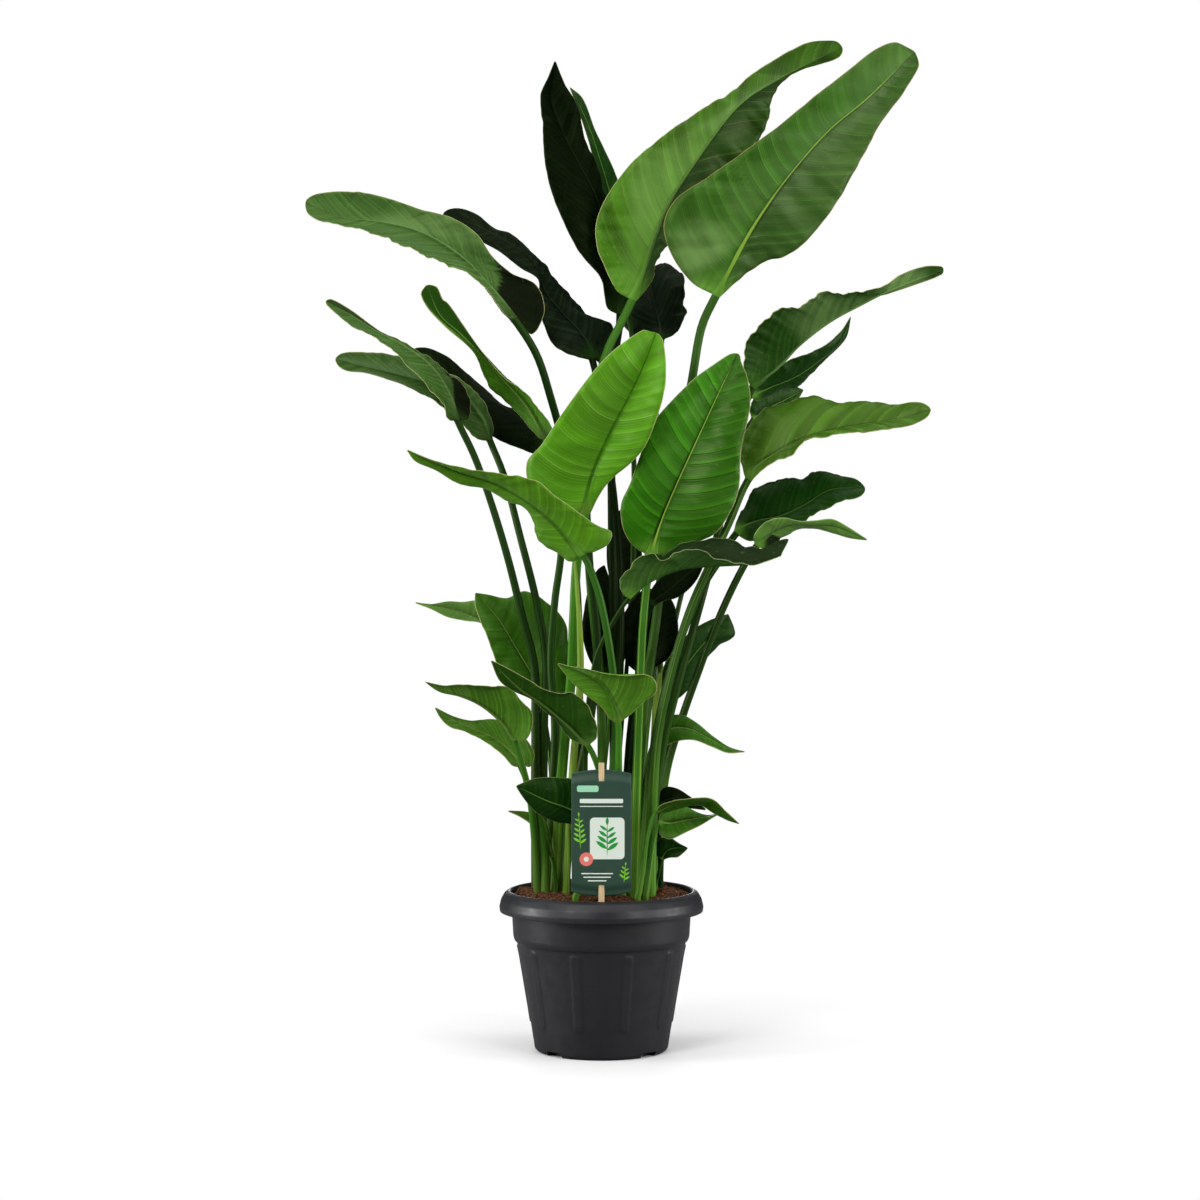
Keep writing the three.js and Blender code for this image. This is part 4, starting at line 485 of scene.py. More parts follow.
# How each leaf looks: finish, ruffle of the margins and their wave length in millimetres, pleat depth, how
# far the pleats slant towards the tip and how far apart they are, and dark and light bands where the blade
# turns away or catches the light, as side (-1 left, 1 right), start and end line from midrib to margin, and
# strength.
LOOKS = {
    "crown_right": {"finish": "crown", "ruffle": 4, "wave": 90, "pleat": 1.1, "pleat_step": 25, "slant": 0.7,
                    "swell": 4, "light": [(1, (0.2, 0.13, 0.08, 0.05), (0.17, 0.2, 0.24, 0.17), 0.6),
                                          (1, (0.84, 0.8), (1.1, 1.1), 0.2)]},
    "crown_left": {"finish": "halved", "ruffle": 4, "wave": 60, "pleat": 0.7, "pleat_step": 24, "slant": 0.9,
                   "swell": 3, "both_from": 0.8, "light": [(1, (0.1, 0.4), (0.76, 0.4), 0.22)],
                   "dark": [(-1, (0.8, 0.84), (1.1, 1.1), 0.35), (1, (0.8, 0.76), (1.1, 1.1), 0.35)]},
    "crown_dark": {"finish": "deep_shade", "ruffle": 3, "slant": 1.2},
    "crown_back": {"finish": "dusk", "slant": 1.2},
    "left_top": {"finish": "dull", "ruffle": 3, "wave": 40, "pleat": 1.5, "slant": 1.7,
                 "dark": [(-1, (-0.1, -0.1), (0.12, 0.26, 0.385), 1)],
                 "light": [(-1, (0.5, 0.42), (0.72, 0.66), 0.35)]},
    "left_dark": {"finish": "slate_shade", "ruffle": 4, "wave": 60, "pleat": 1.2, "slant": 1.2},
    "crown_low": {"finish": "slate_shade", "ruffle": 5, "wave": 40, "pleat": 1.0, "slant": 0.8},
    "front_left": {"finish": "fresh", "ruffle": 2, "pleat": 0.9, "pleat_step": 17,
                   "slant": 0.3, "swell": 2},
    "front_right": {"finish": "front", "ruffle": 2, "pleat": 1.8, "pleat_step": 19,
                    "slant": 0.5, "swell": 2},
    "front_low_left": {"finish": "low_front", "ruffle": 3, "pleat": 0.8, "slant": 0.9},
    "left_mid": {"finish": "dull", "ruffle": 3, "wave": 50, "pleat": 1.0, "slant": 1.4,
                 "dark": [(-1, (-0.1, -0.1), (0.06, 0.2, 0.36), 1), (-1, (0.7, 0.66), (1.1, 1.1), 0.6)]},
    "left_mid_back": {"finish": "dull", "ruffle": 3, "wave": 50, "pleat": 1.0, "slant": 1.4},
    "left_twisted": {"finish": "twisted", "ruffle": 3, "wave": 60, "pleat": 1.0, "slant": 1.4,
                     "dark": [(-1, (0.45, 0.5), (1.1, 1.1), 1), (1, (0.55, 0.97), (1.1, 1.1), 1)]},
    "left_shadow": {"finish": "deep_shade", "ruffle": 3, "slant": 1.0},
    "right_top": {"finish": "olive", "ruffle": 5, "wave": 55, "pleat": 1.5, "slant": 1.4,
                  "light": [(1, (0.3, 0.38), (0.66, 0.56), 0.4), (1, (0.7, 0.7), (0.9, 0.9), 0.5),
                            (-1, (0.7, 0.7), (0.9, 0.9), 0.5)]},
    "right_top_back": {"finish": "dusk", "ruffle": 4, "wave": 40, "pleat": 1.4, "slant": 1.2},
    "right_small_back": {"finish": "dusk", "ruffle": 4, "wave": 24, "pleat": 1.0},
    "right_pale": {"finish": "bright_back", "ruffle": 3, "wave": 60, "pleat": 2.0,
                   "pleat_step": 34, "slant": 1.3},
    "right_dark": {"finish": "dusk", "ruffle": 4, "wave": 45, "pleat": 0.8, "slant": 0.8},
    "right_rolled": {"finish": "strip", "ruffle": 4, "wave": 30, "pleat": 1.2, "slant": 1.2,
                     "dark": [(1, (-0.1, -0.1), (0.16, 0.3), 1)]},
    "front_long": {"finish": "long", "ruffle": 4, "wave": 50, "pleat": 1.0, "slant": 1.2},
    "under_long": {"finish": "deep_shade", "ruffle": 2},
    "mid_round": {"finish": "deep_shade", "ruffle": 3},
    "mid_dark": {"finish": "deep_shade", "ruffle": 3},
    "mid_mottled": {"finish": "deep_shade", "ruffle": 3},
    "left_broad": {"finish": "green", "ruffle": 3, "pleat": 0.6, "swell": 3},
    "left_tip_back": {"finish": "strip", "ruffle": 2},
    "low_left_upper": {"finish": "lower", "ruffle": 3, "wave": 50, "pleat": 0.9, "slant": 1.2},
    "low_left_lower": {"finish": "lower", "ruffle": 3, "wave": 50, "pleat": 0.9, "slant": 1.2},
    "low_centre": {"finish": "low_shade", "ruffle": 3, "wave": 50, "pleat": 0.9, "slant": 1.0},
    "boat": {"finish": "fresh", "ruffle": 2, "pleat": 0.4, "slant": 1.0},
    "low_dark": {"finish": "dusk", "ruffle": 2},
    "low_tip": {"finish": "lower"},
    "right_low": {"finish": "green", "ruffle": 2},
    "low_right_dark": {"finish": "deep_shade"},
    "low_right_band": {"finish": "green", "ruffle": 2},
    "low_right_face": {"finish": "green", "ruffle": 2},
    "low_right_small": {"finish": "dusk"},
    "right_mid": {"finish": "dusk", "ruffle": 3, "swell": 3},
}

# Rolled young leaves: the radius at the foot and the points of the path
SPEARS = {
    "spear_left": {
        "girth": 6,
        "path": [(-50, -18, 226), (-43, -28, 360), (-36, -38, 460), (-30, -48, 531), (-30, -56, 588),
                 (-33, -64, 644), (-38, -72, 709)],
    },
    "spear_right": {
        "girth": 8,
        "path": [(64, 40, 229), (70, 44, 353), (77, 50, 439), (80, 56, 497), (85, 64, 540), (87, 76, 585)],
    },
}

# Curves and grids


def smooth(points, count=400):
    """A smooth curve through the points: between two points it is the cubic whose slopes at both ends
    follow the square roots of the distances to the neighbours. Gives the points and their places."""
    p = np.array(points, float)
    p = np.vstack([2 * p[0] - p[1], p, 2 * p[-1] - p[-2]])
    gap = np.linalg.norm(np.diff(p, axis=0), axis=1) ** 0.5
    place = np.linspace(0, len(points) - 1, count)
    i = np.minimum(place.astype(int), len(points) - 2)
    t = (place - i)[:, None]
    before, here, after = gap[i][:, None], gap[i + 1][:, None], gap[i + 2][:, None]
    a, b, c, d = p[i], p[i + 1], p[i + 2], p[i + 3]
    leave = ((b - a) / before - (c - a) / (before + here) + (c - b) / here) * here
    arrive = ((c - b) / here - (d - b) / (here + after) + (d - c) / after) * here
    bend = 3 * (c - b) - 2 * leave - arrive
    twist = 2 * (b - c) + leave + arrive
    return b + leave * t + bend * t**2 + twist * t**3, place


def by_length(dense, share):
    """Points of a dense path at shares of its length."""
    walked = np.concatenate([[0], np.cumsum(np.linalg.norm(np.diff(dense, axis=0), axis=1))])
    at = np.asarray(share) * walked[-1]
    return np.stack([np.interp(at, walked, dense[:, k]) for k in range(3)], axis=1)


def path_length(dense):
    """The sum of the distances between neighbouring points."""
    return float(np.linalg.norm(np.diff(dense, axis=0), axis=1).sum())


def unit(v):
    """Vectors at length one."""
    return v / np.maximum(np.linalg.norm(v, axis=-1, keepdims=True), 1e-9)


def square_to(side, tangent):
    """The part of a direction that is square to the tangent, at length one."""
    return unit(side - (side * tangent).sum(-1, keepdims=True) * tangent)


def ease(x, low=0.0, high=1.0):
    """A smooth step: three squares less two cubes of the place between low and high."""
    s = np.clip((np.asarray(x, float) - low) / (high - low), 0, 1)
    return s * s * (3 - 2 * s)


def ripple(x, seed, waves=5, longest=1.0):
    """Smooth noise on a line: a sum of sines whose lengths and phases are drawn from the seed."""
    draw = np.random.default_rng(seed)
    total = np.zeros_like(np.asarray(x, float))
    for k in range(waves):
        length = longest / (1 + k * draw.uniform(0.7, 1.3))
        total = total + np.sin(TURN * (x / length + draw.uniform())) / (1 + k)
    return total / 2


def full_turn(count):
    """Even angles round a full turn."""
    return TURN * np.arange(count) / count


def ways_round(angle, side, up):
    """Directions round an axis: the cosine of the angle along one side and its sine along the other."""
    return np.cos(angle)[:, None] * side[..., None, :] + np.sin(angle)[:, None] * up[..., None, :]


def bell(x, middle, half):
    """A bell that is one at the middle and a little over a third at the half width."""
    return np.exp(-(((x - middle) / half) ** 2))


# Meshes


def piece(name, points, faces, material, replaces=(), smooth_faces=True):
    """Makes a mesh object from millimetre points and face rows, on the root body."""
    mesh = bpy.data.meshes.new(name)
    rows = faces.tolist() if isinstance(faces, np.ndarray) else faces
    mesh.from_pydata((np.asarray(points, float) * MM).tolist(), [], rows)
    mesh.polygons.foreach_set("use_smooth", [smooth_faces] * len(mesh.polygons))
    mesh.materials.append(material)
    mesh.update()
    made = bpy.data.objects.new(name, mesh)
    bpy.context.scene.collection.objects.link(made)
    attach(made, "root")
    if replaces:
        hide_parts(*replaces)
    return made


def mark(made, marks):
    """Stores three numbers a point under each name, for the material."""
    for name, values in marks.items():
        layer = made.data.attributes.new(name, "FLOAT_VECTOR", "POINT")
        layer.data.foreach_set("vector", np.asarray(values, np.float32).ravel())


def band_faces(rows, around):
    """Quads between neighbouring rings of a grid."""
    r, k = np.meshgrid(np.arange(rows - 1), np.arange(around), indexing="ij")
    here, beside = r * around + k, r * around + (k + 1) % around
    return np.stack([here, beside, beside + around, here + around], axis=-1).reshape(-1, 4)


def cap(ring_start, around, apex, end):
    """Triangles from a ring to one point, wound for the first or the last ring."""
    k = np.arange(around)
    a, b = ring_start + k, ring_start + (k + 1) % around
    tri = [b, a, np.full(around, apex)] if end == "first" else [a, b, np.full(around, apex)]
    return np.stack(tri, axis=-1)


def kept_inside(points):
    """Eases points back under the model's outer box: past a line a little inside it, the distance is bent
    over by a hyperbolic tangent so that it never passes the box."""
    low, high = np.array(CAD_BOX) / MM
    held = np.asarray(points, float).copy()
    for way, limit in ((1, high), (-1, low)):
        beyond = way * (held - limit) + BOX_EASE
        held = np.where(beyond > 0, limit + way * (BOX_EASE * np.tanh(beyond / BOX_EASE) - BOX_EASE), held)
    return held


def skin(rings, first_apex, last_apex):
    """Points and faces of a closed skin over rings, with one point at each end."""
    rows, around = rings.shape[:2]
    points = np.vstack([rings.reshape(-1, 3), first_apex, last_apex])
    quads = band_faces(rows, around)
    ends = np.vstack([cap(0, around, rows * around, "first"),
                      cap((rows - 1) * around, around, rows * around + 1, "last")])
    return points, quads.tolist() + ends.tolist()


def turned_out(points, faces):
    """Turns every face round if the closed skin holds a negative volume."""
    tri = np.array([f[:3] for f in faces] + [[f[0], f[2], f[3]] for f in faces if len(f) == 4])
    a, b, c = points[tri[:, 0]], points[tri[:, 1]], points[tri[:, 2]]
    inside_out = (a * np.cross(b, c)).sum() < 0
    return [f[::-1] for f in faces] if inside_out else faces


def rooted(rings, foot):
    """The rings with one more straight below the first, down at the root, and the root's middle."""
    root = rings[:1].copy()
    root[..., 2] = STALK["root"]
    return np.concatenate([root, rings]), foot * (1, 1, 0) + (0, 0, STALK["root"])


def columns_of(*values):
    """Three arrays of like or spreading shapes, side by side."""
    return np.stack(np.broadcast_arrays(*values), axis=-1)


# Leaf


def section_angles(columns):
    """Angles round a leaf's section, from the left margin over the top to the right and back below."""
    around = 2 * columns
    return math.pi - math.pi * (2 * np.arange(around) + 1) / around


def stalk_rings(leaf, dense, side, columns):
    """Rings up the stalk from the foot to the blade. A ring's radius falls from foot to neck by a power of
    the share left, less a groove along the upper side with a lip at each edge, which are strongest at the
    sheath below."""
    angle = section_angles(columns)
    count = max(STALK["rows"], int(path_length(dense) / STALK["row_step"]))
    share = np.linspace(0, 1, count + 1)
    centre = by_length(dense, share)
    tangent = unit(np.gradient(centre, axis=0))
    tangent[0] = (0, 0, 1)
    sides = np.zeros_like(centre)
    for k in range(count, -1, -1):
        side = square_to(side, tangent[k])
        sides[k] = side
    centre[0, 2] = STALK["collar"]
    foot, neck = leaf["girth"]
    radius = (neck + (foot - neck) * (1 - share) ** STALK["taper"])[:, None]
    sheath = (1 - ease(share, 0.05, 0.7))[:, None]
    from_top = np.abs((angle - math.pi / 2 + math.pi) % TURN - math.pi)[None, :]
    groove = STALK["groove"] * bell(from_top, 0, STALK["groove_half"]) * (0.35 + 0.65 * sheath)
    lips = STALK["lip"] * bell(from_top, STALK["lip_at"], STALK["lip_half"]) * (0.4 + sheath)
    shape = 1 - (groove - lips) * (1 - ease(share, 0.93, 1.0))[:, None]
    ring = (radius * shape)[..., None] * ways_round(angle, sides, np.cross(sides, tangent))
    rings, root_centre = rooted(centre[:, None] + ring, centre[0])
    place = columns_of(share[:, None] * path_length(dense), radius * from_top, radius)
    part = columns_of(1.0 * (np.arange(len(angle)) >= columns), 0.0, share[:, None])
    return rings, root_centre, np.concatenate([place[:1], place]), np.concatenate([part[:1], part])


def tip_rounding(share, tip_share):
    """The share of width that a round tip takes away: a quarter circle over the midrib's end."""
    into = np.clip((share - 1 + tip_share) / tip_share, 0, 1)
    return 1 - np.sqrt(1 - into**2)


def blade_halves(leaf, rib, tangent, share, across, base, tip):
    """The blade's middle surface without its relief, and each half's width. A half runs straight from the
    midrib to its margin and arches up by a share of its width times the sine of the place."""
    tip_radius = leaf.get("tip", BLADE["tip"])
    tip_side = square_to(np.subtract(leaf["right"][-1], leaf["left"][-1]).astype(float), tangent[-1])
    taken = tip_rounding(share, tip_radius / np.linalg.norm(np.subtract(tip, leaf["rib"][0])))[:, None]
    middle = np.zeros((len(share), len(across), 3))
    width = np.zeros(middle.shape[:2])
    for sign, key in ((-1, "left"), (1, "right")):
        half = (np.sign(across) == sign) | (across == 0)
        out = np.abs(across[half])[None, :, None]
        margin = by_length(smooth([base, *leaf[key], np.add(tip, sign * tip_radius * tip_side)])[0], share)
        chord = (margin - rib) * (1 - taken)
        flat = chord - (chord * tangent).sum(-1, keepdims=True) * tangent
        lift = unit(np.cross(flat, tangent)) * sign
        reach = np.linalg.norm(chord, axis=1)
        arch = BLADE["bulge"] * reach[:, None, None] * np.sin(math.pi * out)
        middle[:, half] = rib[:, None] + chord[:, None] * out + lift[:, None] * arch
        width[:, half] = reach[:, None]
    return middle, width


def facing(middle):
    """Unit normals of a grid of points."""
    return unit(np.cross(np.gradient(middle, axis=1), np.gradient(middle, axis=0)))


def blade_relief(look, length, share, across, out, width, seed):
    """Heights off the blade's middle surface, and the phase of its veins. Pleats follow lines that leave
    the midrib at a slant and sweep forward to the margin. Ruffles grow with the square of the place
    towards the margin, and follow a sum of sines along it. A half swells by a sine across and a ripple
    along."""
    along = share[:, None] * length
    slant = look.get("slant", PLEAT["slant"])
    vein = along - slant * out - PLEAT["sweep"] * out**2 / np.maximum(width, 1)
    spacing = look.get("pleat_step", PLEAT["least"] + PLEAT["step"] * length)
    phase = vein / spacing + 0.5 * ripple(vein / spacing, seed, longest=7.0)
    past = phase - np.floor(phase)
    fold = 0.5 - past + ease(past, PLEAT["crest"], 1.0)
    depth = look.get("pleat", PLEAT["depth"]) * ease(width, 6, 26)
    depth = depth * ease(out, 1.0, 9.0) * ease(width - out, 0.0, 7.0)

    wave_at = along / look.get("wave", RUFFLE["wave"])
    wave = np.where(across[None, :] < 0, ripple(wave_at, seed + 1000), ripple(wave_at, seed + 2000))
    ruffle = look.get("ruffle", RUFFLE["size"]) * across[None, :] ** 2 * wave
    ruffle = ruffle * ease(width, 8, 40) * ease(1 - share[:, None], 0, 0.1)
    swell = look.get("swell", RUFFLE["swell"]) * np.sin(math.pi * np.abs(across))[None, :]
    swell = swell * ripple(along / RUFFLE["swell_wave"], seed + 3000, 3) * ease(width, 10, 60)
    return depth * fold + ruffle + swell, phase


def blade_rows(leaf, look, rib_dense, base, tip, seed):
    """The blade's middle surface with its relief, on a grid of stations along the midrib, which crowd
    together at base and tip by a cosine, and of places across, which crowd at the midrib by a power."""
    length = path_length(rib_dense)
    count = int(np.clip(length / BLADE["row_step"], *BLADE["rows"]))
    last = BLADE["round_station"] if "tip" in leaf else BLADE["tip_station"]
    x = np.linspace(0, 1, count + 1)[1:] * last
    share = 0.5 * x + 0.25 * (1 - np.cos(math.pi * x))
    rib = by_length(rib_dense, share)
    step = 0.012
    ahead, behind = np.minimum(share + step, 1), np.maximum(share - step, 0)
    tangent = unit(by_length(rib_dense, ahead) - by_length(rib_dense, behind))
    even = np.linspace(-1, 1, BLADE["columns"])
    across = np.sign(even) * np.abs(even) ** BLADE["crowd"]
    middle, width = blade_halves(leaf, rib, tangent, share, across, base, tip)
    out = np.abs(across)[None, :] * width
    relief, phase = blade_relief(look, length, share, across, out, width, seed)
    middle = middle + facing(middle) * relief[..., None]
    return middle, share, tangent, across, width, phase


def blade_patch(patches, share, across, soft):
    """Where a blade lies in its own shade or catches the light: bands of the blade between two lines on one
    side. A line joins shares of the midrib that are set at even steps from the midrib out to the margin."""
    mask = np.zeros((len(share), len(across)))
    out = np.abs(across)
    for side, start, end, strength in patches:
        start_line = np.interp(out, np.linspace(0, 1, len(start)), start)
        end_line = np.interp(out, np.linspace(0, 1, len(end)), end)
        past_start = ease(share[:, None] - start_line, -soft, soft)
        before_end = ease(end_line - share[:, None], -soft, soft)
        mask = np.maximum(mask, strength * past_start * before_end * (across * side >= 0))
    return mask


def leaf_skin(leaf, look, seed):
    """One closed skin: stalk rings, then blade sections whose upper and lower points stand half the blade's
    thickness off its middle surface, with a round keel under the midrib, and near the base a blend from the
    stalk's ring."""
    columns = BLADE["columns"]
    guide, at = smooth([*leaf["stalk"], *leaf["rib"]], 1600)
    base_at = len(leaf["stalk"]) - 1
    stalk_dense, rib_dense = guide[at <= base_at + 1e-9], guide[at >= base_at - 1e-9]
    base, tip = leaf["stalk"][-1], leaf["rib"][-1]
    middle, share, tangent, across, width, phase = blade_rows(leaf, look, rib_dense, base, tip, seed)
    first = int(np.searchsorted(share, 0.1))
    side = square_to((middle[first, -1] - middle[first, 0])[None], tangent[first][None])[0]
    stalk, root_centre, stalk_place, stalk_part = stalk_rings(leaf, stalk_dense, side, columns)

    sideways = square_to(middle[:, -1] - middle[:, 0], tangent)
    early = share < share[first]
    sideways[early] = square_to(np.broadcast_to(side, tangent[early].shape), tangent[early])
    neck = leaf["girth"][1]
    ring = neck * ways_round(section_angles(columns), sideways, np.cross(sideways, tangent))
    flatness = ease(share, 0, BLADE["blend"])[:, None, None]
    out = np.abs(across)[None, :] * width
    thick = BLADE["half_thickness"] * (0.55 + 0.45 * ease(width * (1 - np.abs(across)), 0, 4))
    keel_radius = BLADE["keel"] * neck * (1 - share)[:, None] ** 0.8
    keel = np.sqrt(np.maximum(keel_radius**2 - out**2, 0)) * BLADE["keel_depth"]
    channel = 0.3 * keel_radius * bell(out, 0, np.maximum(0.5 * keel_radius, 0.3))
    normal = facing(middle)
    over = normal * (thick - channel * 0.6)[..., None]
    under = -normal * (thick + keel)[..., None]
    blade = both_faces(middle) + ring * (1 - flatness) + both_faces(over, under) * flatness

    points, faces = skin(np.concatenate([stalk, blade]), root_centre, np.array(tip, float))
    blade_place = both_faces(columns_of(phase, out, width * (1 - np.abs(across))))
    below = 1.0 * (np.arange(2 * columns) >= columns)
    blade_part = columns_of(below, ease(share, 0.0, 0.12)[:, None], share[:, None])
    # Masks of painted light and shade: the half that takes the second colour, painted shade where the blade
    # turns away from the light, and painted highlights where it catches it.
    blade_light_and_shade = both_faces(columns_of(
        second_colour(look, share, across),
        blade_patch(look.get("dark", ()), share, across, 0.005),
        blade_patch(look.get("light", ()), share, across, 0.05)))
    marks = {
        "leaf_place": in_order(stalk_place, blade_place, stalk_place[0, 0], (0, 0, 0)),
        "leaf_part": in_order(stalk_part, blade_part, (0, 0, 0), (0, 1, 1)),
        "leaf_light_and_shade": in_order(0 * stalk_part, blade_light_and_shade, (0, 0, 0), (0, 0, 0)),
    }
    return kept_inside(points), turned_out(points, faces), marks


def both_faces(over, under=None):
    """Rows of the upper side, then of the lower side back again."""
    return np.concatenate([over, (over if under is None else under)[:, ::-1]], axis=1)


def second_colour(look, share, across):
    """Where a blade takes its second colour, which paints the light and shade that differ between its
    halves: its right half, and both halves past a share of the midrib.
    """
    start = look.get("both_from", 2)
    return np.maximum((across > 0)[None, :], ease(share, start, start + 0.04)[:, None])


def in_order(*values):
    """Values of the rings and of the two end points, as one row a point."""
    return np.vstack([np.reshape(value, (-1, 3)) for value in values])


def spear_skin(spear, seed):
    """A rolled leaf: rings whose radius is the girth times the root of one less the cube of the share, with
    an overlap edge that climbs round it in a spiral."""
    dense = smooth(spear["path"], 800)[0]
    share = np.linspace(0, SPEAR["end"], SPEAR["rows"])
    centre = by_length(dense, share)
    tangent = unit(np.gradient(centre, axis=0))
    side = square_to(np.broadcast_to((1.0, 0, 0), centre.shape), tangent)
    centre[0, 2] = STALK["collar"]
    angle = full_turn(SPEAR["around"])
    turn = (angle[None, :] - SPEAR["climb"] * TURN * share[:, None]) % TURN
    roll = 1 - SPEAR["overlap"] * turn / TURN + 0.05 * ripple(share, seed, longest=0.4)[:, None]
    radius = spear["girth"] * np.sqrt(1 - share**3)[:, None] * roll
    ring = radius[..., None] * ways_round(angle, side, np.cross(side, tangent))
    rings, root_centre = rooted(centre[:, None] + ring, centre[0])
    place = columns_of((share * path_length(dense))[:, None], 5 * turn, 0.0)
    part = columns_of(0 * turn, 0.0, share[:, None])
    points, faces = skin(rings, root_centre, dense[-1])
    marks = {
        "leaf_place": in_order(place[0], place, place[0, 0], (0, 0, 0)),
        "leaf_part": in_order(part[0], part, (0, 0, 0), (0, 0, 1)),
    }
    return points, turned_out(points, faces), marks


# Pot


def rounded(profile, radius=1.6, steps=4):
    """Replaces each inner corner of an open profile by a short parabola."""
    p = np.array(profile, float)
    found = [p[:1]]
    for a, b, c in zip(p[:-2], p[1:-1], p[2:]):
        reach = min(radius, 0.45 * np.linalg.norm(a - b), 0.45 * np.linalg.norm(c - b))
        start, end = b + unit(a - b) * reach, b + unit(c - b) * reach
        t = np.linspace(0, 1, steps + 1)[:, None]
        found.append((1 - t) ** 2 * start + 2 * t * (1 - t) * b + t**2 * end)
    return np.vstack([*found, p[-1:]])


def split_long(profile, longest):
    """Adds points so that no stretch of a profile is longer than the given length."""
    found = [profile[:1]]
    for a, b in zip(profile[:-1], profile[1:]):
        count = max(1, int(np.ceil(np.linalg.norm(b - a) / longest)))
        found.append(a + (b - a) * (np.arange(1, count + 1)[:, None] / count))
    return np.vstack(found)


def pot_profile():
    """Outside wall from the axis up, the rolled lip over and back, and the inside wall down to the axis."""
    rim, top, foot, foot_high = POT["rim"], POT["lip_top"], POT["foot"], POT["foot_high"]
    body, band, skirt, wall = POT["body_top"], POT["band_low"], POT["skirt_low"], POT["wall"]
    low, high = foot + POT["taper_out"], body - POT["taper_in"]
    outside = [
        (foot - 5, 0), (foot - 1.2, 4), (foot, foot_high), (low, POT["taper_low"]),
        (high, POT["taper_high"]), (body, band - 3), (body + 3.5, band), (body + 5.2, band + 6),
        (body + 7, skirt - 3), (body + 8, top - 15),
    ]
    lip = [
        (rim - 12, top - 9), (rim - 5.5, top - 15), (rim - 3.2, skirt), (rim - 0.7, skirt), (rim, skirt + 7),
        (rim - 2.4, top - 13), (rim - 7.5, top - 4), (rim - 14, top), (rim - 16.4, top - 2),
    ]
    inside = [
        (body + 5.6, top - 16), (body + 2.4, band + 3), (body - wall, band - 5),
        (high - wall, POT["taper_high"]), (low - wall, POT["taper_low"]), (foot - wall, foot_high),
        (foot - wall - 3, POT["floor"] + 2), (foot - 9, POT["floor"]),
    ]
    return [(1, 0), *outside, *lip, *inside, (1, POT["floor"])]


def rib_relief(turn, height, on_body):
    """How far a rib stands off the body: full on its flat, eased to nothing at flanks and round ends."""
    period = TURN / RIB["count"]
    off = np.abs((turn + period / 2) % period - period / 2)
    sideways = off * RIB["at_radius"]
    half = RIB["width"] / 2
    inner, outer = half - RIB["flank"][0], half + RIB["flank"][1]
    ends = np.minimum(height - RIB["low"], RIB["high"] - height)
    pinch = half * (1 - np.sqrt(np.clip(1 - (1 - np.clip(ends / half, 0, 1)) ** 2, 0, 1)))
    return RIB["relief"] * on_body * (1 - ease(sideways + pinch, inner, outer)) * (ends > 0)


def turned(radius, height):
    """Points of a profile turned round the upright axis, whose radius may change with the angle."""
    angle = full_turn(radius.shape[1])
    return columns_of(radius * np.cos(angle), radius * np.sin(angle), height)


def pot_piece(material):
    """The profile turned round the axis, with ten ribs on the body and four slots cut at the foot."""
    profile = rounded(pot_profile())
    brim = int(np.argmax(profile[:, 0])) + 1
    profile = np.vstack([split_long(profile[:brim], POT["row_step"]),
                         split_long(profile[brim:], POT["inner_row_step"])])
    radius, height = profile[:, :1], profile[:, 1:]
    outer = (np.arange(len(profile)) < int(np.argmax(profile[:, 0])))[:, None]
    on_body = outer * (radius > POT["foot"] - 4) * (radius < POT["body_top"] + 2)
    relief = rib_relief(full_turn(POT["sides"])[None, :], height, on_body)
    points, faces = skin(turned(radius + relief, height), (0, 0, 0), (0, 0, POT["floor"]))
    made = piece("pot_shell", points, turned_out(points, faces), material, ["pot"])
    for k in range(DRAIN["count"]):
        half = (DRAIN["depth"], DRAIN["width"] / 2, DRAIN["height"])
        cut_box(made, half, (POT["foot"], 0, 0), (k + 0.5) * TURN / DRAIN["count"])
    return made


def cut_box(made, half, centre, turn=0.0):
    """Cuts a box, given by its half sizes and middle and turned about the upright axis, out of a piece."""
    signs = np.array([(a, b, c) for a in (-1, 1) for b in (-1, 1) for c in (-1, 1)])
    c, s = math.cos(turn), math.sin(turn)
    corners = (signs * half + centre) @ np.array([[c, s, 0], [-s, c, 0], [0, 0, 1]])
    faces = [(0, 1, 3, 2), (4, 6, 7, 5), (0, 4, 5, 1), (2, 3, 7, 6), (0, 2, 6, 4), (1, 5, 7, 3)]
    mesh = bpy.data.meshes.new("cutter")
    mesh.from_pydata((corners * MM).tolist(), [], faces)
    cutter = bpy.data.objects.new("cutter", mesh)
    bpy.context.scene.collection.objects.link(cutter)
    cut = made.modifiers.new("cut", "BOOLEAN")
    cut.operation, cut.object, cut.solver = "DIFFERENCE", cutter, "EXACT"
    apply_modifiers(made)
    bpy.data.objects.remove(cutter)


def apply_modifiers(made):
    """Puts the mesh that the modifiers give in place of the piece's own."""
    graph = bpy.context.evaluated_depsgraph_get()
    mesh = bpy.data.meshes.new_from_object(made.evaluated_get(graph))
    made.modifiers.clear()
    made.data = mesh


# Potting mix


def soil_height(x, y, seed=5):
    """Crumbly relief: for each length of wave, three crossed sines of one size, in millimetres."""
    draw = np.random.default_rng(seed)
    total = np.zeros_like(x)
    for length, size in CRUMBS.items():
        for _ in range(3):
            turn, shift = draw.uniform(0, TURN), draw.uniform(0, TURN)
            along = x * math.cos(turn) + y * math.sin(turn)
            total = total + size * np.sin(TURN * along / length + shift) / 1.7
    return total


def soil_surface(x, y):
    """The mix is highest in the middle, falls by the dome to the wall, and sinks a little beside it."""
    reach = np.hypot(x, y)
    edge = SOIL["edge"]
    start = edge - SOIL["margin"]
    flat = SOIL["top"] + SOIL["dome"] * (1 - np.clip(reach / start, 0, 1) ** 2) - 1
    return flat - SOIL["sink"] * ease(reach, start, edge + 2) + soil_height(x, y) * ease(edge - reach, 0, 4)


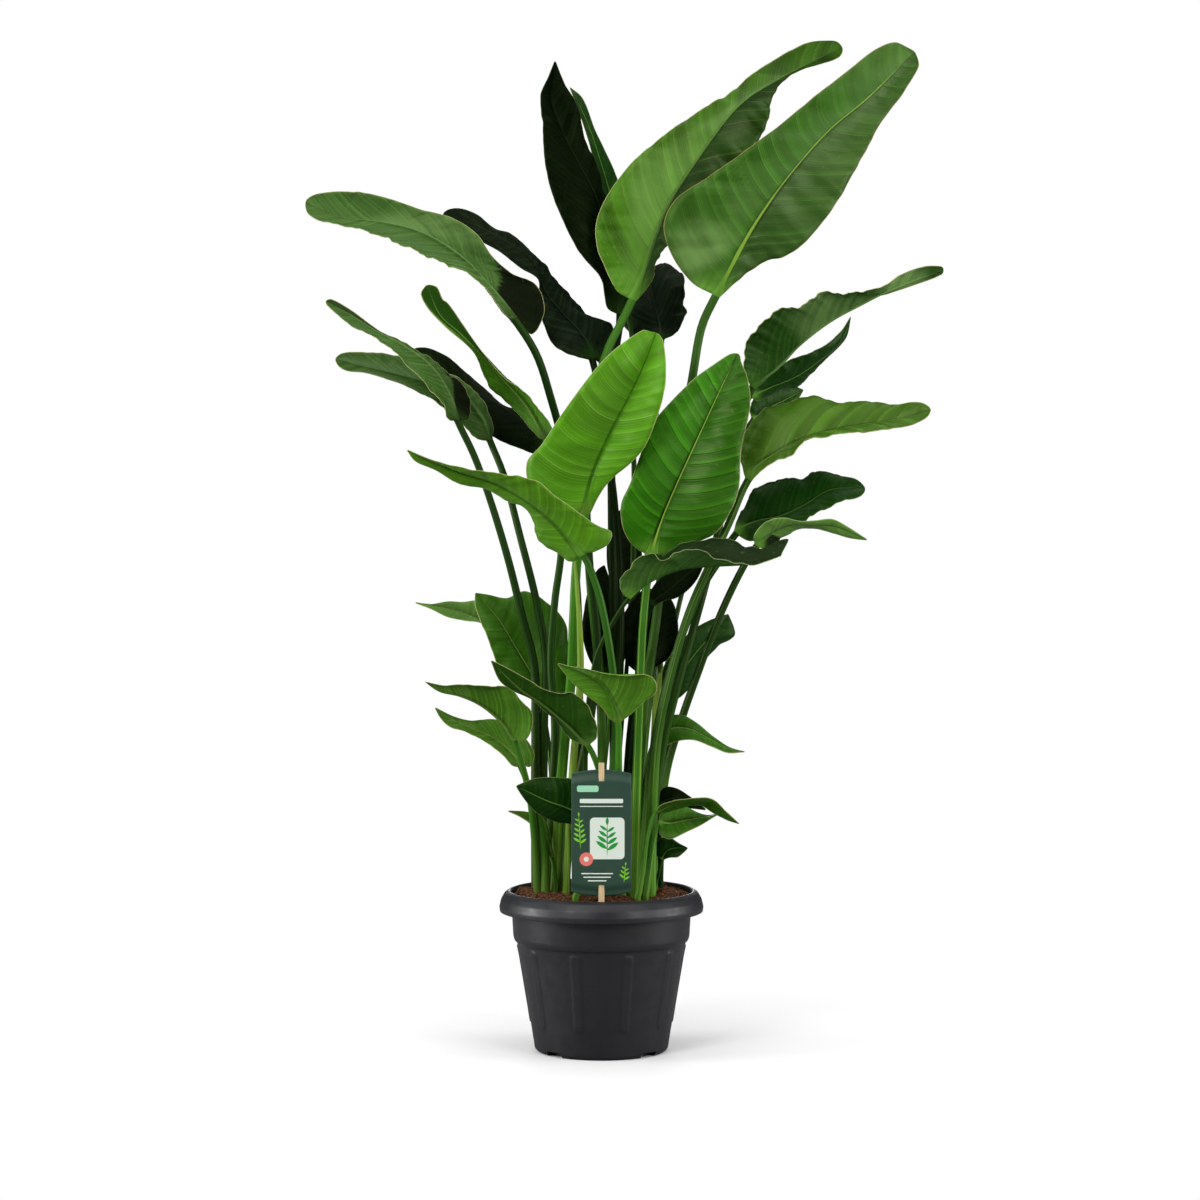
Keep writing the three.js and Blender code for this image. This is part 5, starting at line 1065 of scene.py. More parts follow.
def soil_piece(material):
    """A filled cup: the pot's inner profile below, and a crumbly domed top."""
    wall = POT["wall"] + SOIL["gap"] + 1
    low = np.array([
        (1, SOIL["bottom"]), (POT["foot"] - wall, SOIL["bottom"]),
        (POT["foot"] + POT["taper_out"] - wall, POT["taper_low"]),
        (POT["body_top"] - POT["taper_in"] - wall, POT["taper_high"]),
        (POT["body_top"] - wall, POT["band_low"] - 7), (POT["body_top"] + 1.2, POT["band_low"] + 5),
        (SOIL["edge"], SOIL["top"] - 12),
    ])
    reach = np.linspace(SOIL["edge"], 2, SOIL["rows"])
    profile = np.vstack([low, np.stack([reach, 0 * reach], axis=1)])
    points = turned(profile[:, :1] * np.ones(SOIL["sides"]), profile[:, 1:])
    top = points[len(low):]
    top[..., 2] = soil_surface(top[..., 0], top[..., 1])
    points, faces = skin(points, (0, 0, SOIL["bottom"]), (0, 0, top[-1, :, 2].mean()))
    return piece("soil_mix", points, turned_out(points, faces), material, ["soil"])


def fibres(name, count, length, girth, material, seed, lift):
    """Loose strands and chips on the soil: three-sided tubes on short bent paths, thin at both ends."""
    draw = np.random.default_rng(seed)
    steps, around, flat = 5, 3, 0.55
    radius = (POT["body_top"] + 1) * np.sqrt(draw.uniform(0, 1, count))
    turn = draw.uniform(0, TURN, count)
    heading = draw.uniform(0, TURN, count)
    curl = draw.normal(0, 0.5, count)
    size = length * draw.uniform(0.4, 1.3, count)
    s = np.linspace(-0.5, 0.5, steps)
    bend = heading[:, None] + curl[:, None] * s[None, :] * 2
    x = (radius * np.cos(turn))[:, None] + size[:, None] * s * np.cos(bend)
    y = (radius * np.sin(turn))[:, None] + size[:, None] * s * np.sin(bend)
    shrink = np.minimum(1, (POT["body_top"] + 3) / np.hypot(x, y))
    x, y = x * shrink, y * shrink
    tilt = draw.normal(0, 0.35, count)[:, None] * size[:, None] * s * 0.5
    z = soil_surface(x, y) + lift * draw.uniform(0.1, 1.0, count)[:, None] + tilt
    centre = np.stack([x, y, z], axis=-1)
    tangent = unit(np.gradient(centre, axis=1))
    side = unit(np.cross(tangent, np.array([0, 0, 1.0])))
    thick = girth * draw.uniform(0.5, 1.4, count)[:, None] * (1.05 - (2 * s) ** 2 * 0.8)
    ways = ways_round(full_turn(around), side, flat * np.cross(side, tangent))
    rings = centre[:, :, None] + thick[..., None, None] * ways
    per = steps * around
    a, b, c, d = band_faces(steps, around).T
    ends = [(0, 1, 2), (per - 1, per - 2, per - 3)]
    tri = np.vstack([np.stack([a, c, b], axis=-1), np.stack([a, d, c], axis=-1), ends])
    faces = (tri[None] + per * np.arange(count)[:, None, None]).reshape(-1, 3)
    return piece(name, rings.reshape(-1, 3), faces, material)


# Label


def card_front(x, z):
    """The card's front in y: behind the stick at both ends, and bowed forward between the slots."""
    from_end = np.minimum(z - CARD["bottom"], CARD["top"] - z)
    start = CARD_SLOT["from_end"] - CARD_SLOT["height"] / 2
    forward = CARD["bow"] * ease(from_end, start, start + CARD_SLOT["height"])
    return CARD["back"] - forward - CARD["thickness"] + 0 * x


def card_piece(material):
    """A front and a back grid a thickness apart, whose ends are arched and whose outermost rows are a touch
    narrower, joined along the rim, with two slots cut for the stick."""
    columns, rows = 61, 91
    u, v = np.meshgrid(np.linspace(-1, 1, columns), np.linspace(0, 1, rows))
    corner = 1 - 0.012 * (np.abs(2 * v - 1) > 0.985)
    x = u * CARD["width"] / 2 * corner
    flat_z = CARD["bottom"] + (CARD["top"] - CARD["bottom"]) * v
    z = flat_z - CARD["arch"] * u * u * (2 * v - 1)
    front = card_front(x, flat_z)
    back = front + CARD["thickness"]
    rings = both_faces(np.stack([x, front, z], axis=-1), np.stack([x, back, z], axis=-1))
    around = 2 * columns
    faces = band_faces(rows, around).tolist()
    k = np.arange(columns - 1)
    for row in (0, rows - 1):
        far = row * around + around - 1 - k
        strip = np.stack([row * around + k, row * around + k + 1, far - 1, far], axis=-1)
        faces += (strip if row else strip[:, ::-1]).tolist()
    points = rings.reshape(-1, 3)
    made = piece("label_sheet", points, turned_out(points, faces), material, ["label_card"])
    half = (CARD_SLOT["width"] / 2, 20, CARD_SLOT["height"] / 2)
    for z_mid in (CARD["bottom"] + CARD_SLOT["from_end"], CARD["top"] - CARD_SLOT["from_end"]):
        cut_box(made, half, (0, CARD["back"], z_mid))
    return made


def printed(name, outlines, material, lift=0.12):
    """Thin printed shapes on the card: each outline shrinks to its middle a little off the card's front,
    and again just behind it, as one closed skin."""
    points, faces = np.zeros((0, 3)), []
    share = np.array([0.35, 0.7, 1.0, 1.0, 0.7, 0.35])[:, None]
    back = np.array([-lift, -lift, -lift, 0.05, 0.05, 0.05])[:, None]
    for outline in outlines:
        middle_x, middle_z = outline.mean(axis=0)
        x = middle_x + share * (outline[:, 0] - middle_x)
        z = middle_z + share * (outline[:, 1] - middle_z)
        rings = np.stack([x, card_front(x, z) + back, z], axis=-1)
        middle = card_front(middle_x, middle_z)
        ends = [(middle_x, middle - lift, middle_z), (middle_x, middle + 0.05, middle_z)]
        shape, shape_faces = skin(rings, *ends)
        shape_faces = turned_out(shape - shape.mean(axis=0), shape_faces)
        faces += [[len(points) + corner for corner in face] for face in shape_faces]
        points = np.vstack([points, shape])
    return piece(name, points, faces, material, smooth_faces=False)


def turned_flat(points, x, z, turn):
    """Flat points turned by an angle and moved to a place."""
    c, s = math.cos(turn), math.sin(turn)
    across, up = points.T
    return np.stack([x + across * c - up * s, z + across * s + up * c], axis=-1)


def leaflet(x, z, length, width, turn, count=18):
    """A pointed oval: its half width is a power of the sine of the place along it."""
    s = np.linspace(0, 1, count // 2 + 1)
    half = width / 2 * np.sin(math.pi * s) ** 0.8
    along = np.concatenate([s, s[-2:0:-1]]) * length
    side = np.concatenate([half, -half[-2:0:-1]])
    return turned_flat(np.stack([along, side], axis=-1), x, z, turn)


def sprig(x, z, height, pairs, size, lean=0.0):
    """A plain stem with paired leaflets and one at its tip, leaning by an angle to the left."""
    shapes = [leaflet(0, 0, height, 1.6, math.pi / 2)]
    for k in range(pairs):
        up = height * (0.18 + 0.72 * k / pairs)
        long = size * (1 - 0.45 * k / pairs)
        shapes.append(leaflet(0, up, long, long * 0.3, math.radians(35)))
        shapes.append(leaflet(0, up + 2, long, long * 0.3, math.radians(145)))
    shapes.append(leaflet(0, height * 0.92, size * 0.6, size * 0.22, math.pi / 2))
    return [turned_flat(shape, x, z, lean) for shape in shapes]


def corner_round(turn, width, height, corner):
    """A rectangle with round corners: a small circle whose quarters are pushed out to the corners."""
    return (np.sign(np.cos(turn)) * (width / 2 - corner) + corner * np.cos(turn),
            np.sign(np.sin(turn)) * (height / 2 - corner) + corner * np.sin(turn))


def round_plate(x, z, width, height, corner):
    """A flat rectangle with round corners."""
    across, up = corner_round(TURN * (np.arange(32) + 0.5) / 32, width, height, corner)
    return np.stack([x + across, z + up], axis=-1)


def disc(x, z, radius):
    """A flat circle."""
    turn = full_turn(28)
    return np.stack([x + radius * np.cos(turn), z + radius * np.sin(turn)], axis=-1)


def stick_piece(material):
    """A flat stick: a rounded rectangle carried up, with its top edge eased over."""
    rim_x, rim_y = corner_round(full_turn(24), STICK["width"], STICK["thickness"], STICK["corner"])
    top = STICK["top"]
    z = np.concatenate([np.linspace(STICK["root"], top - 2, 60), top - np.array([1.0, 0.4, 0.0])])
    shrink = np.concatenate([np.ones(61), [0.97, 0.86]])[:, None]
    rings = columns_of(rim_x * shrink, STICK["y"] + rim_y * shrink, z[:, None])
    points, faces = skin(rings, (0, STICK["y"], STICK["root"]), (0, STICK["y"], top))
    return piece("stick_fine", points, turned_out(points, faces), material, ["label_stick"])


# Materials


def tint(code):
    """A screen colour such as #4b8c14 as a linear colour with full alpha."""
    screen = np.array([int(code[k:k + 2], 16) for k in (1, 3, 5)]) / 255
    linear = np.where(screen <= 0.04045, screen / 12.92, ((screen + 0.055) / 1.055) ** 2.4)
    return (*linear.tolist(), 1.0)


def op(tree, kind, *inputs, out=0, **settings):
    """Adds a node, sets or links its inputs in order, and returns one of its outputs."""
    made = tree.nodes.new("ShaderNode" + kind)
    for key, value in settings.items():
        setattr(made, key, value)
    for place, value in enumerate(inputs):
        if isinstance(value, bpy.types.NodeSocket):
            tree.links.new(value, made.inputs[place])
        elif value is not None:
            made.inputs[place].default_value = value
    return made.outputs[out]


def maths(tree, operation, *inputs):
    """A number worked out from others."""
    return op(tree, "Math", *inputs, operation=operation)


def less(tree, value):
    """One less a value."""
    return maths(tree, "SUBTRACT", 1.0, value)


def product(tree, first, *others):
    """The first number times each of the others."""
    for other in others:
        first = maths(tree, "MULTIPLY", first, other)
    return first


def sum_of(tree, first, *others):
    """The first number and all the others together."""
    for other in others:
        first = maths(tree, "ADD", first, other)
    return first


def blend_colour(tree, share, a, b, mode="MIX"):
    """Two colours mixed by a share, or blended by it in another mode."""
    made = tree.nodes.new("ShaderNodeMix")
    made.data_type, made.blend_type = "RGBA", mode
    for place, value in ((0, share), (6, a), (7, b)):
        if isinstance(value, bpy.types.NodeSocket):
            tree.links.new(value, made.inputs[place])
        else:
            made.inputs[place].default_value = value
    return made.outputs[2]


def shaded(tree, colour, amount):
    """A colour times a number."""
    return blend_colour(tree, 1.0, colour, op(tree, "CombineColor", amount, amount, amount), "MULTIPLY")


def ramp(tree, value, low, high, at_low=0.0, at_high=1.0):
    """A smooth step of a value between low and high, from one level to another."""
    return op(tree, "MapRange", value, low, high, at_low, at_high, interpolation_type="SMOOTHSTEP")


def noise(tree, vector, scale, detail=2.0, roughness=0.5):
    """Smooth noise between 0 and 1 at a place."""
    made = tree.nodes.new("ShaderNodeTexNoise")
    made.inputs["Scale"].default_value = scale
    made.inputs["Detail"].default_value = detail
    made.inputs["Roughness"].default_value = roughness
    tree.links.new(vector, made.inputs["Vector"])
    return made.outputs["Fac"]


def parts_of(tree, attribute):
    """The three numbers of a point attribute."""
    read = tree.nodes.new("ShaderNodeAttribute")
    read.attribute_name = attribute
    split = tree.nodes.new("ShaderNodeSeparateXYZ")
    tree.links.new(read.outputs["Vector"], split.inputs[0])
    return split.outputs


def object_place(tree):
    """A point's own place on the object, in metres."""
    return tree.nodes.new("ShaderNodeTexCoord").outputs["Object"]


def group_tree(name, inputs, outputs):
    """A shader group with named sockets, and those sockets as its own nodes give and take them."""
    tree = bpy.data.node_groups.new(name, "ShaderNodeTree")
    for label, kind, value in inputs:
        tree.interface.new_socket(name=label, in_out="INPUT", socket_type=kind).default_value = value
    for label, kind in outputs:
        tree.interface.new_socket(name=label, in_out="OUTPUT", socket_type=kind)
    return tree, tree.nodes.new("NodeGroupInput").outputs, tree.nodes.new("NodeGroupOutput").inputs


def new_material(name):
    """A material, its node tree and its shader."""
    made = bpy.data.materials.new(name)
    made.use_nodes = True
    return made, made.node_tree, made.node_tree.nodes["Principled BSDF"]


def add_bump(tree, shader, height, strength, distance):
    """Tilts the shader's normal by a height. The strength has no unit and the distance is in metres."""
    bump = tree.nodes.new("ShaderNodeBump")
    bump.inputs["Strength"].default_value = strength
    bump.inputs["Distance"].default_value = distance
    tree.links.new(height, bump.inputs["Height"])
    tree.links.new(bump.outputs["Normal"], shader.inputs["Normal"])


def rib_and_margin(tree, given, blade, off_rib, off_edge, under, share, spot):
    """The blade's colour with its pale midrib, which thins to the tip, its thin margin and a few specks."""
    thin = sum_of(tree, 0.5, product(tree, less(tree, share), 0.9))
    thin = product(tree, thin, sum_of(tree, 1.0, product(tree, under, 0.3)))
    rib = ramp(tree, maths(tree, "DIVIDE", off_rib, thin), 0.5, 1.2, 1.0, 0.0)
    rib = product(tree, rib, given["Rib strength"], ramp(tree, share, 0.99, 0.8, 0.2, 1.0))
    blade = blend_colour(tree, rib, blade, given["Rib"])
    edge = ramp(tree, off_edge, 0.3, 1.3, 1.0, 0.0)
    blade = blend_colour(tree, product(tree, edge, 0.8), blade, given["Margin"])
    speckle = ramp(tree, noise(tree, spot, 140.0, 2.0), 0.66, 0.74)
    blade = blend_colour(tree, product(tree, speckle, 0.08), blade, given["Margin"])
    return blade


def stalk_colour(tree, given, phase, off_rib, under, share, wide):
    """The stalk's colour, another one low down, with streaks along it and paler lips, and the streaks."""
    stretch = op(tree, "CombineXYZ", product(tree, phase, 0.004), product(tree, off_rib, 0.45), wide)
    streak = noise(tree, stretch, 1.0, 3.0, 0.6)
    stalk = blend_colour(tree, ramp(tree, share, 0.5, 0.02), given["Stalk"], given["Stalk low"])
    stalk = shaded(tree, stalk, sum_of(tree, 0.3, product(tree, streak, 1.3)))
    lip = ramp(tree, maths(tree, "ABSOLUTE", maths(tree, "SUBTRACT", off_rib, 4.4)), 0.1, 0.8, 1.0, 0.0)
    stalk = blend_colour(tree, product(tree, lip, less(tree, under), 0.7), stalk, given["Rib"])
    return stalk, streak


def leaf_group():
    """The skin of a leaf: blade above and below, lateral veins with a painted light band beside each,
    midrib with painted shade in its groove, margin, stalk streaks and specks. It also paints light and
    shade in soft clouds, a painted sheen, a second colour on one half, and placed shade and highlights."""
    colour, number = "NodeSocketColor", "NodeSocketFloat"
    colours = [(label, colour, tint(code)) for label, code in LEAF_COLOURS.items()]
    numbers = [(label, number, value) for label, value in LEAF_NUMBERS.items()]
    tree, given, gives = group_tree("leaf_skin", colours + numbers,
                                    [("Colour", colour), ("Roughness", number), ("Height", number)])
    place, part, light_and_shade = (parts_of(tree, name) for name in ("leaf_place", "leaf_part", "leaf_light_and_shade"))
    phase, off_rib, off_edge = place[0], place[1], place[2]
    under, on_blade, share = part[0], part[1], part[2]
    spot = object_place(tree)
    cloud = noise(tree, spot, 9.0, 3.0)
    wide = noise(tree, spot, 3.2, 2.0)

    wide_enough = ramp(tree, sum_of(tree, off_rib, off_edge), 6.0, 26.0)
    line = ramp(tree, maths(tree, "PINGPONG", phase, 0.5), 0.0, 0.07, 1.0, 0.0)
    # The band just past each vein, used below, is painted light on the slope of each pleat.
    past = maths(tree, "FRACT", phase)
    band = product(tree, ramp(tree, past, 0.02, 0.08), ramp(tree, past, 0.08, 0.5, 1.0, 0.0))
    fine = maths(tree, "PINGPONG", product(tree, phase, 7.0), 0.5)
    fine_line = product(tree, ramp(tree, fine, 0.0, 0.3, 1.0, 0.0), wide_enough)
    along_vein = op(tree, "CombineXYZ", phase, product(tree, off_rib, 0.006), light_and_shade[0])
    bands = noise(tree, along_vein, 0.9, 3.0, 0.6)
    uneven = ramp(tree, noise(tree, along_vein, 0.45, 2.0), 0.3, 0.65, 0.15, 1.0)

    blade = blend_colour(tree, under, given["Upper"], given["Under"])
    # The second colour on one half paints the light and shade that differ between the halves.
    blade = blend_colour(tree, product(tree, light_and_shade[0], given["Second half"]), blade, given["Second"])
    # Painted light and shade: soft clouds and streaks along the veins lighten and darken the blade, partly
    # its own tone and partly the shading of its curves, and a light band past each vein paints the light on
    # the pleats.
    lit = maths(tree, "SUBTRACT", sum_of(tree, cloud, wide, product(tree, bands, 1.6)), 1.8)
    lit = product(tree, lit, given["Cloud"], 1.8)
    lit = sum_of(tree, 1.0, lit, product(tree, band, uneven, given["Band"], wide_enough))
    # Painted shade in the midrib's groove, full on one half and a quarter as strong on the other.
    rib_width = sum_of(tree, 1.2, product(tree, less(tree, share), 5.5))
    groove = ramp(tree, maths(tree, "DIVIDE", off_rib, rib_width), 0.7, 1.1, 1.0, 0.0)
    one_sided = sum_of(tree, 0.25, product(tree, less(tree, light_and_shade[0]), 0.75))
    lit = product(tree, lit, less(tree, product(tree, groove, one_sided, given["Groove"])))
    blade = shaded(tree, blade, lit)
    # Painted sheen: soft pale patches along the veins, in the colour of a highlight.
    patches = ramp(tree, noise(tree, spot, 7.0, 2.0), 0.48, 0.7)
    painted_sheen = product(tree, patches, ramp(tree, bands, 0.4, 0.65, 0.2, 1.0))
    blade = blend_colour(tree, product(tree, painted_sheen, given["Sheen"]), blade, tint("#84a05c"))
    # Painted highlights placed where the blade catches the light, broken up by the veins and clouds.
    placed_highlight = product(tree, light_and_shade[2], ramp(tree, sum_of(tree, bands, cloud), 0.7, 1.2, 0.35, 1.0))
    blade = blend_colour(tree, placed_highlight, blade, tint("#7a9c58"))
    fade_edge = ramp(tree, off_edge, 0.0, 10.0)
    off_groove = less(tree, groove)
    seen = product(tree, line, given["Line"], fade_edge, off_groove, uneven, wide_enough)
    blade = blend_colour(tree, seen, blade, given["Vein"])
    fine_seen = product(tree, fine_line, given["Line"], 0.3, off_groove)
    blade = blend_colour(tree, fine_seen, blade, given["Vein"])
    # Painted shade where the blade turns away from the light.
    blade = blend_colour(tree, light_and_shade[1], blade, given["Dark"])

    blade = rib_and_margin(tree, given, blade, off_rib, off_edge, under, share, spot)
    stalk, streak = stalk_colour(tree, given, phase, off_rib, under, share, wide)
    tree.links.new(blend_colour(tree, on_blade, stalk, blade), gives["Colour"])
    rough = sum_of(tree, 0.24, product(tree, under, 0.08), product(tree, cloud, 0.24))
    tree.links.new(sum_of(tree, rough, product(tree, light_and_shade[1], 0.5)), gives["Roughness"])
    veins = sum_of(tree, product(tree, fine_line, -0.06), product(tree, line, -0.25))
    ridges = product(tree, streak, less(tree, on_blade), 0.5)
    tree.links.new(sum_of(tree, product(tree, veins, on_blade, wide_enough), ridges), gives["Height"])
    return tree


def leaf_material(name, gloss=0.22, **values):
    """A leaf finish: the leaf skin with its own colours and strengths, under one Principled shader."""
    made, tree, shader = new_material(name)
    skin_node = tree.nodes.new("ShaderNodeGroup")
    skin_node.node_tree = LEAF_SKIN
    for label, value in values.items():
        socket = skin_node.inputs[label.replace("_", " ")]
        socket.default_value = tint(value) if isinstance(value, str) else value
    tree.links.new(skin_node.outputs["Colour"], shader.inputs["Base Color"])
    tree.links.new(skin_node.outputs["Roughness"], shader.inputs["Roughness"])
    add_bump(tree, shader, skin_node.outputs["Height"], 0.6, 0.001)
    shader.inputs["Specular IOR Level"].default_value = gloss
    shader.inputs["Specular Tint"].default_value = (0.8, 1.0, 0.45, 1.0)
    return made


def plain_material(name, colour, roughness, height=None, bump=(0.5, 0.001), specular=0.5):
    """A finish from its colour and its roughness, each a value or a function that adds its nodes to the
    tree, and from its height, always such a function. The bump is its strength and distance in metres."""
    made, tree, shader = new_material(name)
    for given, socket in ((colour, "Base Color"), (roughness, "Roughness")):
        value = given(tree) if callable(given) else given
        if isinstance(value, bpy.types.NodeSocket):
            tree.links.new(value, shader.inputs[socket])
        else:
            shader.inputs[socket].default_value = value
    shader.inputs["Specular IOR Level"].default_value = specular
    if height:
        add_bump(tree, shader, height(tree), *bump)
    return made


def grain(scale, detail=2.0):
    """A fine even noise in the object's own place."""
    return lambda tree: noise(tree, object_place(tree), scale, detail)


def two_tone(scale, detail, dark, light, low=None, high=None):
    """Two colours mixed by a noise, from one to the other between two levels where they are given."""
    def make(tree):
        share = noise(tree, object_place(tree), scale, detail)
        if low is not None:
            share = ramp(tree, share, low, high)
        return blend_colour(tree, share, tint(dark), tint(light))
    return make


def pot_roughness(tree):
    """Satin plastic: the roughness drifts by a noise between 0.38 and 0.5."""
    return ramp(tree, noise(tree, object_place(tree), 60.0, 3.0), 0.3, 0.7, 0.38, 0.5)


def soil_colour(tree):
    """Dark and red-brown clods with pale flecks."""
    spot = object_place(tree)
    clod = noise(tree, spot, 120.0, 4.0, 0.7)
    clods = blend_colour(tree, ramp(tree, clod, 0.35, 0.65), tint("#1f120c"), tint("#6b4430"))
    flecks = ramp(tree, noise(tree, spot, 420.0, 2.0), 0.6, 0.75, 0.0, 0.6)
    return blend_colour(tree, flecks, clods, tint("#a3754f"))


def wood_colour(tree):
    """Pale wood with a grain drawn out along the stick."""
    spot = op(tree, "Mapping", object_place(tree), None, None, (900.0, 400.0, 22.0), vector_type="POINT")
    streaks = noise(tree, spot, 1.0, 3.0, 0.6)
    return blend_colour(tree, ramp(tree, streaks, 0.3, 0.75), tint("#e2c9a0"), tint("#c9a676"))


# Leaf colours and strengths. Second is a colour on one half that paints the light and shade that differ
# between the halves, Dark is painted shade, Band the painted light band beside each vein, Groove the painted
# shade in the midrib's groove, Cloud soft clouds that are partly tone and partly painted shading, and Sheen
# a painted sheen.
LEAF_COLOURS = {
    "Upper": "#3f7a1c", "Under": "#5d8a3c", "Second": "#3f7a1c", "Dark": "#0c1a08", "Vein": "#1f4410",
    "Rib": "#8fae4a", "Stalk": "#3f7a22", "Stalk low": "#5c8f2e", "Margin": "#b3b077",
}
LEAF_NUMBERS = {
    "Line": 0.5, "Band": 0.35, "Cloud": 0.35, "Second half": 0.0, "Rib strength": 0.8, "Groove": 0.5,
    "Sheen": 0.25,
}
LEAF_SKIN = leaf_group()

# Leaf finishes: what differs from the values above, and the gloss
LEAF_FINISHES = {
    "fresh": dict(Upper="#47850a", Under="#41750f", Second="#4c8a12", Second_half=0.7, Vein="#a3c45c",
                  Rib="#3f741a", Stalk="#3f7a1c", Stalk_low="#587a26", Line=0.4, Band=0.35, Groove=0.5,
                  Rib_strength=0.3, Sheen=0.08),
    "front": dict(Upper="#2f6e09", Under="#3f7020", Second="#285b07", Second_half=1.0, Vein="#0f2c06",
                  Rib="#a3c84a", Line=0.6, Band=0.8, Groove=0.8, Sheen=0.07),
    "low_front": dict(Upper="#4a7e12", Under="#4f8420", Vein="#2c5410", Rib="#3c6a1c", Stalk="#2c5c18",
                      Line=0.4, Band=0.4, Groove=0.5, Sheen=0.12),
    "lower": dict(gloss=0.15, Upper="#35600c", Under="#3e6a14", Vein="#234a0c", Rib="#7f9f4a",
                  Stalk="#386a1a", Stalk_low="#50722a", Rib_strength=0.4, Line=0.5, Band=0.9, Sheen=0.2),
    "low_shade": dict(gloss=0.15, Upper="#1d4406", Under="#204807", Vein="#163406", Rib="#6f9340",
                      Stalk="#386a1a", Stalk_low="#50722a", Rib_strength=0.4, Line=0.4, Sheen=0.06),
    "green": dict(Upper="#356610", Under="#345e14", Vein="#1c440e", Rib="#7fa345", Line=0.4, Sheen=0.12),
    "crown": dict(Upper="#3f6f26", Under="#2c4d18", Second="#2a5410", Second_half=1.0, Vein="#5f8a3a",
                  Rib="#86ae3c", Stalk="#33591c", Rib_strength=0.9, Line=0.45, Band=0.55, Groove=0.6,
                  Margin="#a8905a", Sheen=0.08),
    "halved": dict(Upper="#2f5a1a", Under="#284c12", Second="#376606", Second_half=1.0, Vein="#7c9c46",
                   Rib="#5c8434", Stalk="#3a6c1a", Line=0.35, Band=0.3, Groove=0.5, Cloud=0.6, Sheen=0.1),
    "dull": dict(Upper="#2c5a1c", Under="#3c5e26", Dark="#050b03", Vein="#203c15", Rib="#6f9350",
                 Stalk="#18360c", Stalk_low="#2c4616", Rib_strength=0.5, Line=0.5, Band=0.7, Sheen=0.12),
    "olive": dict(gloss=0.12, Upper="#1c3f0c", Under="#1b3d0c", Vein="#152c0e", Rib="#6f9350",
                  Stalk="#203c10", Stalk_low="#35601a", Rib_strength=0.5, Line=0.5, Band=0.8, Sheen=0.1),
    "bright_back": dict(Upper="#395d0f", Under="#4d7414", Vein="#38601a", Rib="#7ba048", Stalk="#284e12",
                        Rib_strength=0.5, Line=0.4, Band=0.7, Sheen=0.15),
    "twisted": dict(Upper="#2c5a1c", Under="#457a16", Dark="#22490d", Vein="#2c5416", Rib="#7ba048",
                    Stalk="#1c400e", Stalk_low="#35501a", Rib_strength=0.5, Line=0.4, Band=0.5, Sheen=0.15),
    "strip": dict(Upper="#557d33", Under="#557d33", Dark="#0c1a08", Vein="#33581f", Rib="#6c9446",
                  Stalk="#203c10", Margin="#a9c07a", Rib_strength=0.3, Line=0.5, Band=0.5),
    # Near-black upper side: painted shade in the leaf's fold. The lower side is its own green.
    "long": dict(gloss=0.1, Upper="#14240d", Under="#3c6524", Vein="#183010", Rib="#3c5c28",
                 Stalk="#1a340c", Margin="#a9b97c", Rib_strength=0.4, Line=0.5, Band=0.6, Sheen=0.1),
    # Near-black upper side: painted shade of leaves deep inside the plant. The lower side is a plain dark
    # green.
    "slate_shade": dict(gloss=0.05, Upper="#09130a", Under="#1c3a12", Vein="#050a03", Rib="#2f4226",
                  Stalk="#12220b", Stalk_low="#1e3810", Margin="#4c5638", Rib_strength=0.4, Line=0.7,
                  Band=1.5, Cloud=0.6, Sheen=0.05),
    # Dark green that is partly the leaves' own colour and partly painted shade of the plant's inside.
    "dusk": dict(gloss=0.1, Upper="#103407", Under="#13380a", Vein="#0f200b", Rib="#5f8a35",
                 Stalk="#203c10", Margin="#7a8450", Rib_strength=0.7, Line=0.5, Band=0.7, Sheen=0.08),
    # Near-black upper side: painted shade of leaves deep inside the plant. The lower side is a plain dark
    # green.
    "deep_shade": dict(gloss=0.03, Upper="#071104", Under="#1a380e", Vein="#040903", Rib="#233a1b",
                 Stalk="#12220b", Stalk_low="#1e3810", Margin="#3f4a2c", Rib_strength=0.4, Line=0.5,
                 Band=0.8, Sheen=0.02),
    "spear": dict(Stalk="#7a9a38", Stalk_low="#6f9a34", Rib="#a8bc62"),
}
FINISH = {name: leaf_material("leaf_" + name, **values) for name, values in LEAF_FINISHES.items()}
FINISH |= {
    "pot": plain_material("pot_plastic_satin", two_tone(14.0, 4.0, "#16171a", "#1f2023"), pot_roughness,
                          grain(900.0), (0.25, 0.0002), 0.45),
    "soil": plain_material("soil_crumb", soil_colour, 0.95, grain(350.0, 4.0), (0.8, 0.002), 0.2),
    "coir": plain_material("coir_strand", two_tone(260.0, 2.0, "#4a2a1a", "#9a6a48", 0.3, 0.7), 0.85,
                           specular=0.2),
    "bark": plain_material("bark_chip", two_tone(260.0, 2.0, "#24130b", "#5d3823", 0.3, 0.7), 0.9,
                           specular=0.2),
    "card": plain_material("card_green", two_tone(40.0, 3.0, "#1e3c2d", "#234534"), 0.5,
                           grain(1500.0), (0.2, 0.0002)),
    "print_light": plain_material("print_light_green", tint("#7fc832"), 0.55, specular=0.2),
    "print_green": plain_material("print_green", tint("#23963a"), 0.55, specular=0.2),
    "print_mint": plain_material("print_mint", tint("#9fdcb4"), 0.55, specular=0.2),
    "print_pale": plain_material("print_pale", tint("#dfe9dc"), 0.55),
    "print_coral": plain_material("print_coral", tint("#e5766a"), 0.55),
    "wood": plain_material("stick_wood", wood_colour, 0.6, grain(700.0), (0.3, 0.0003)),
}

# Assembly


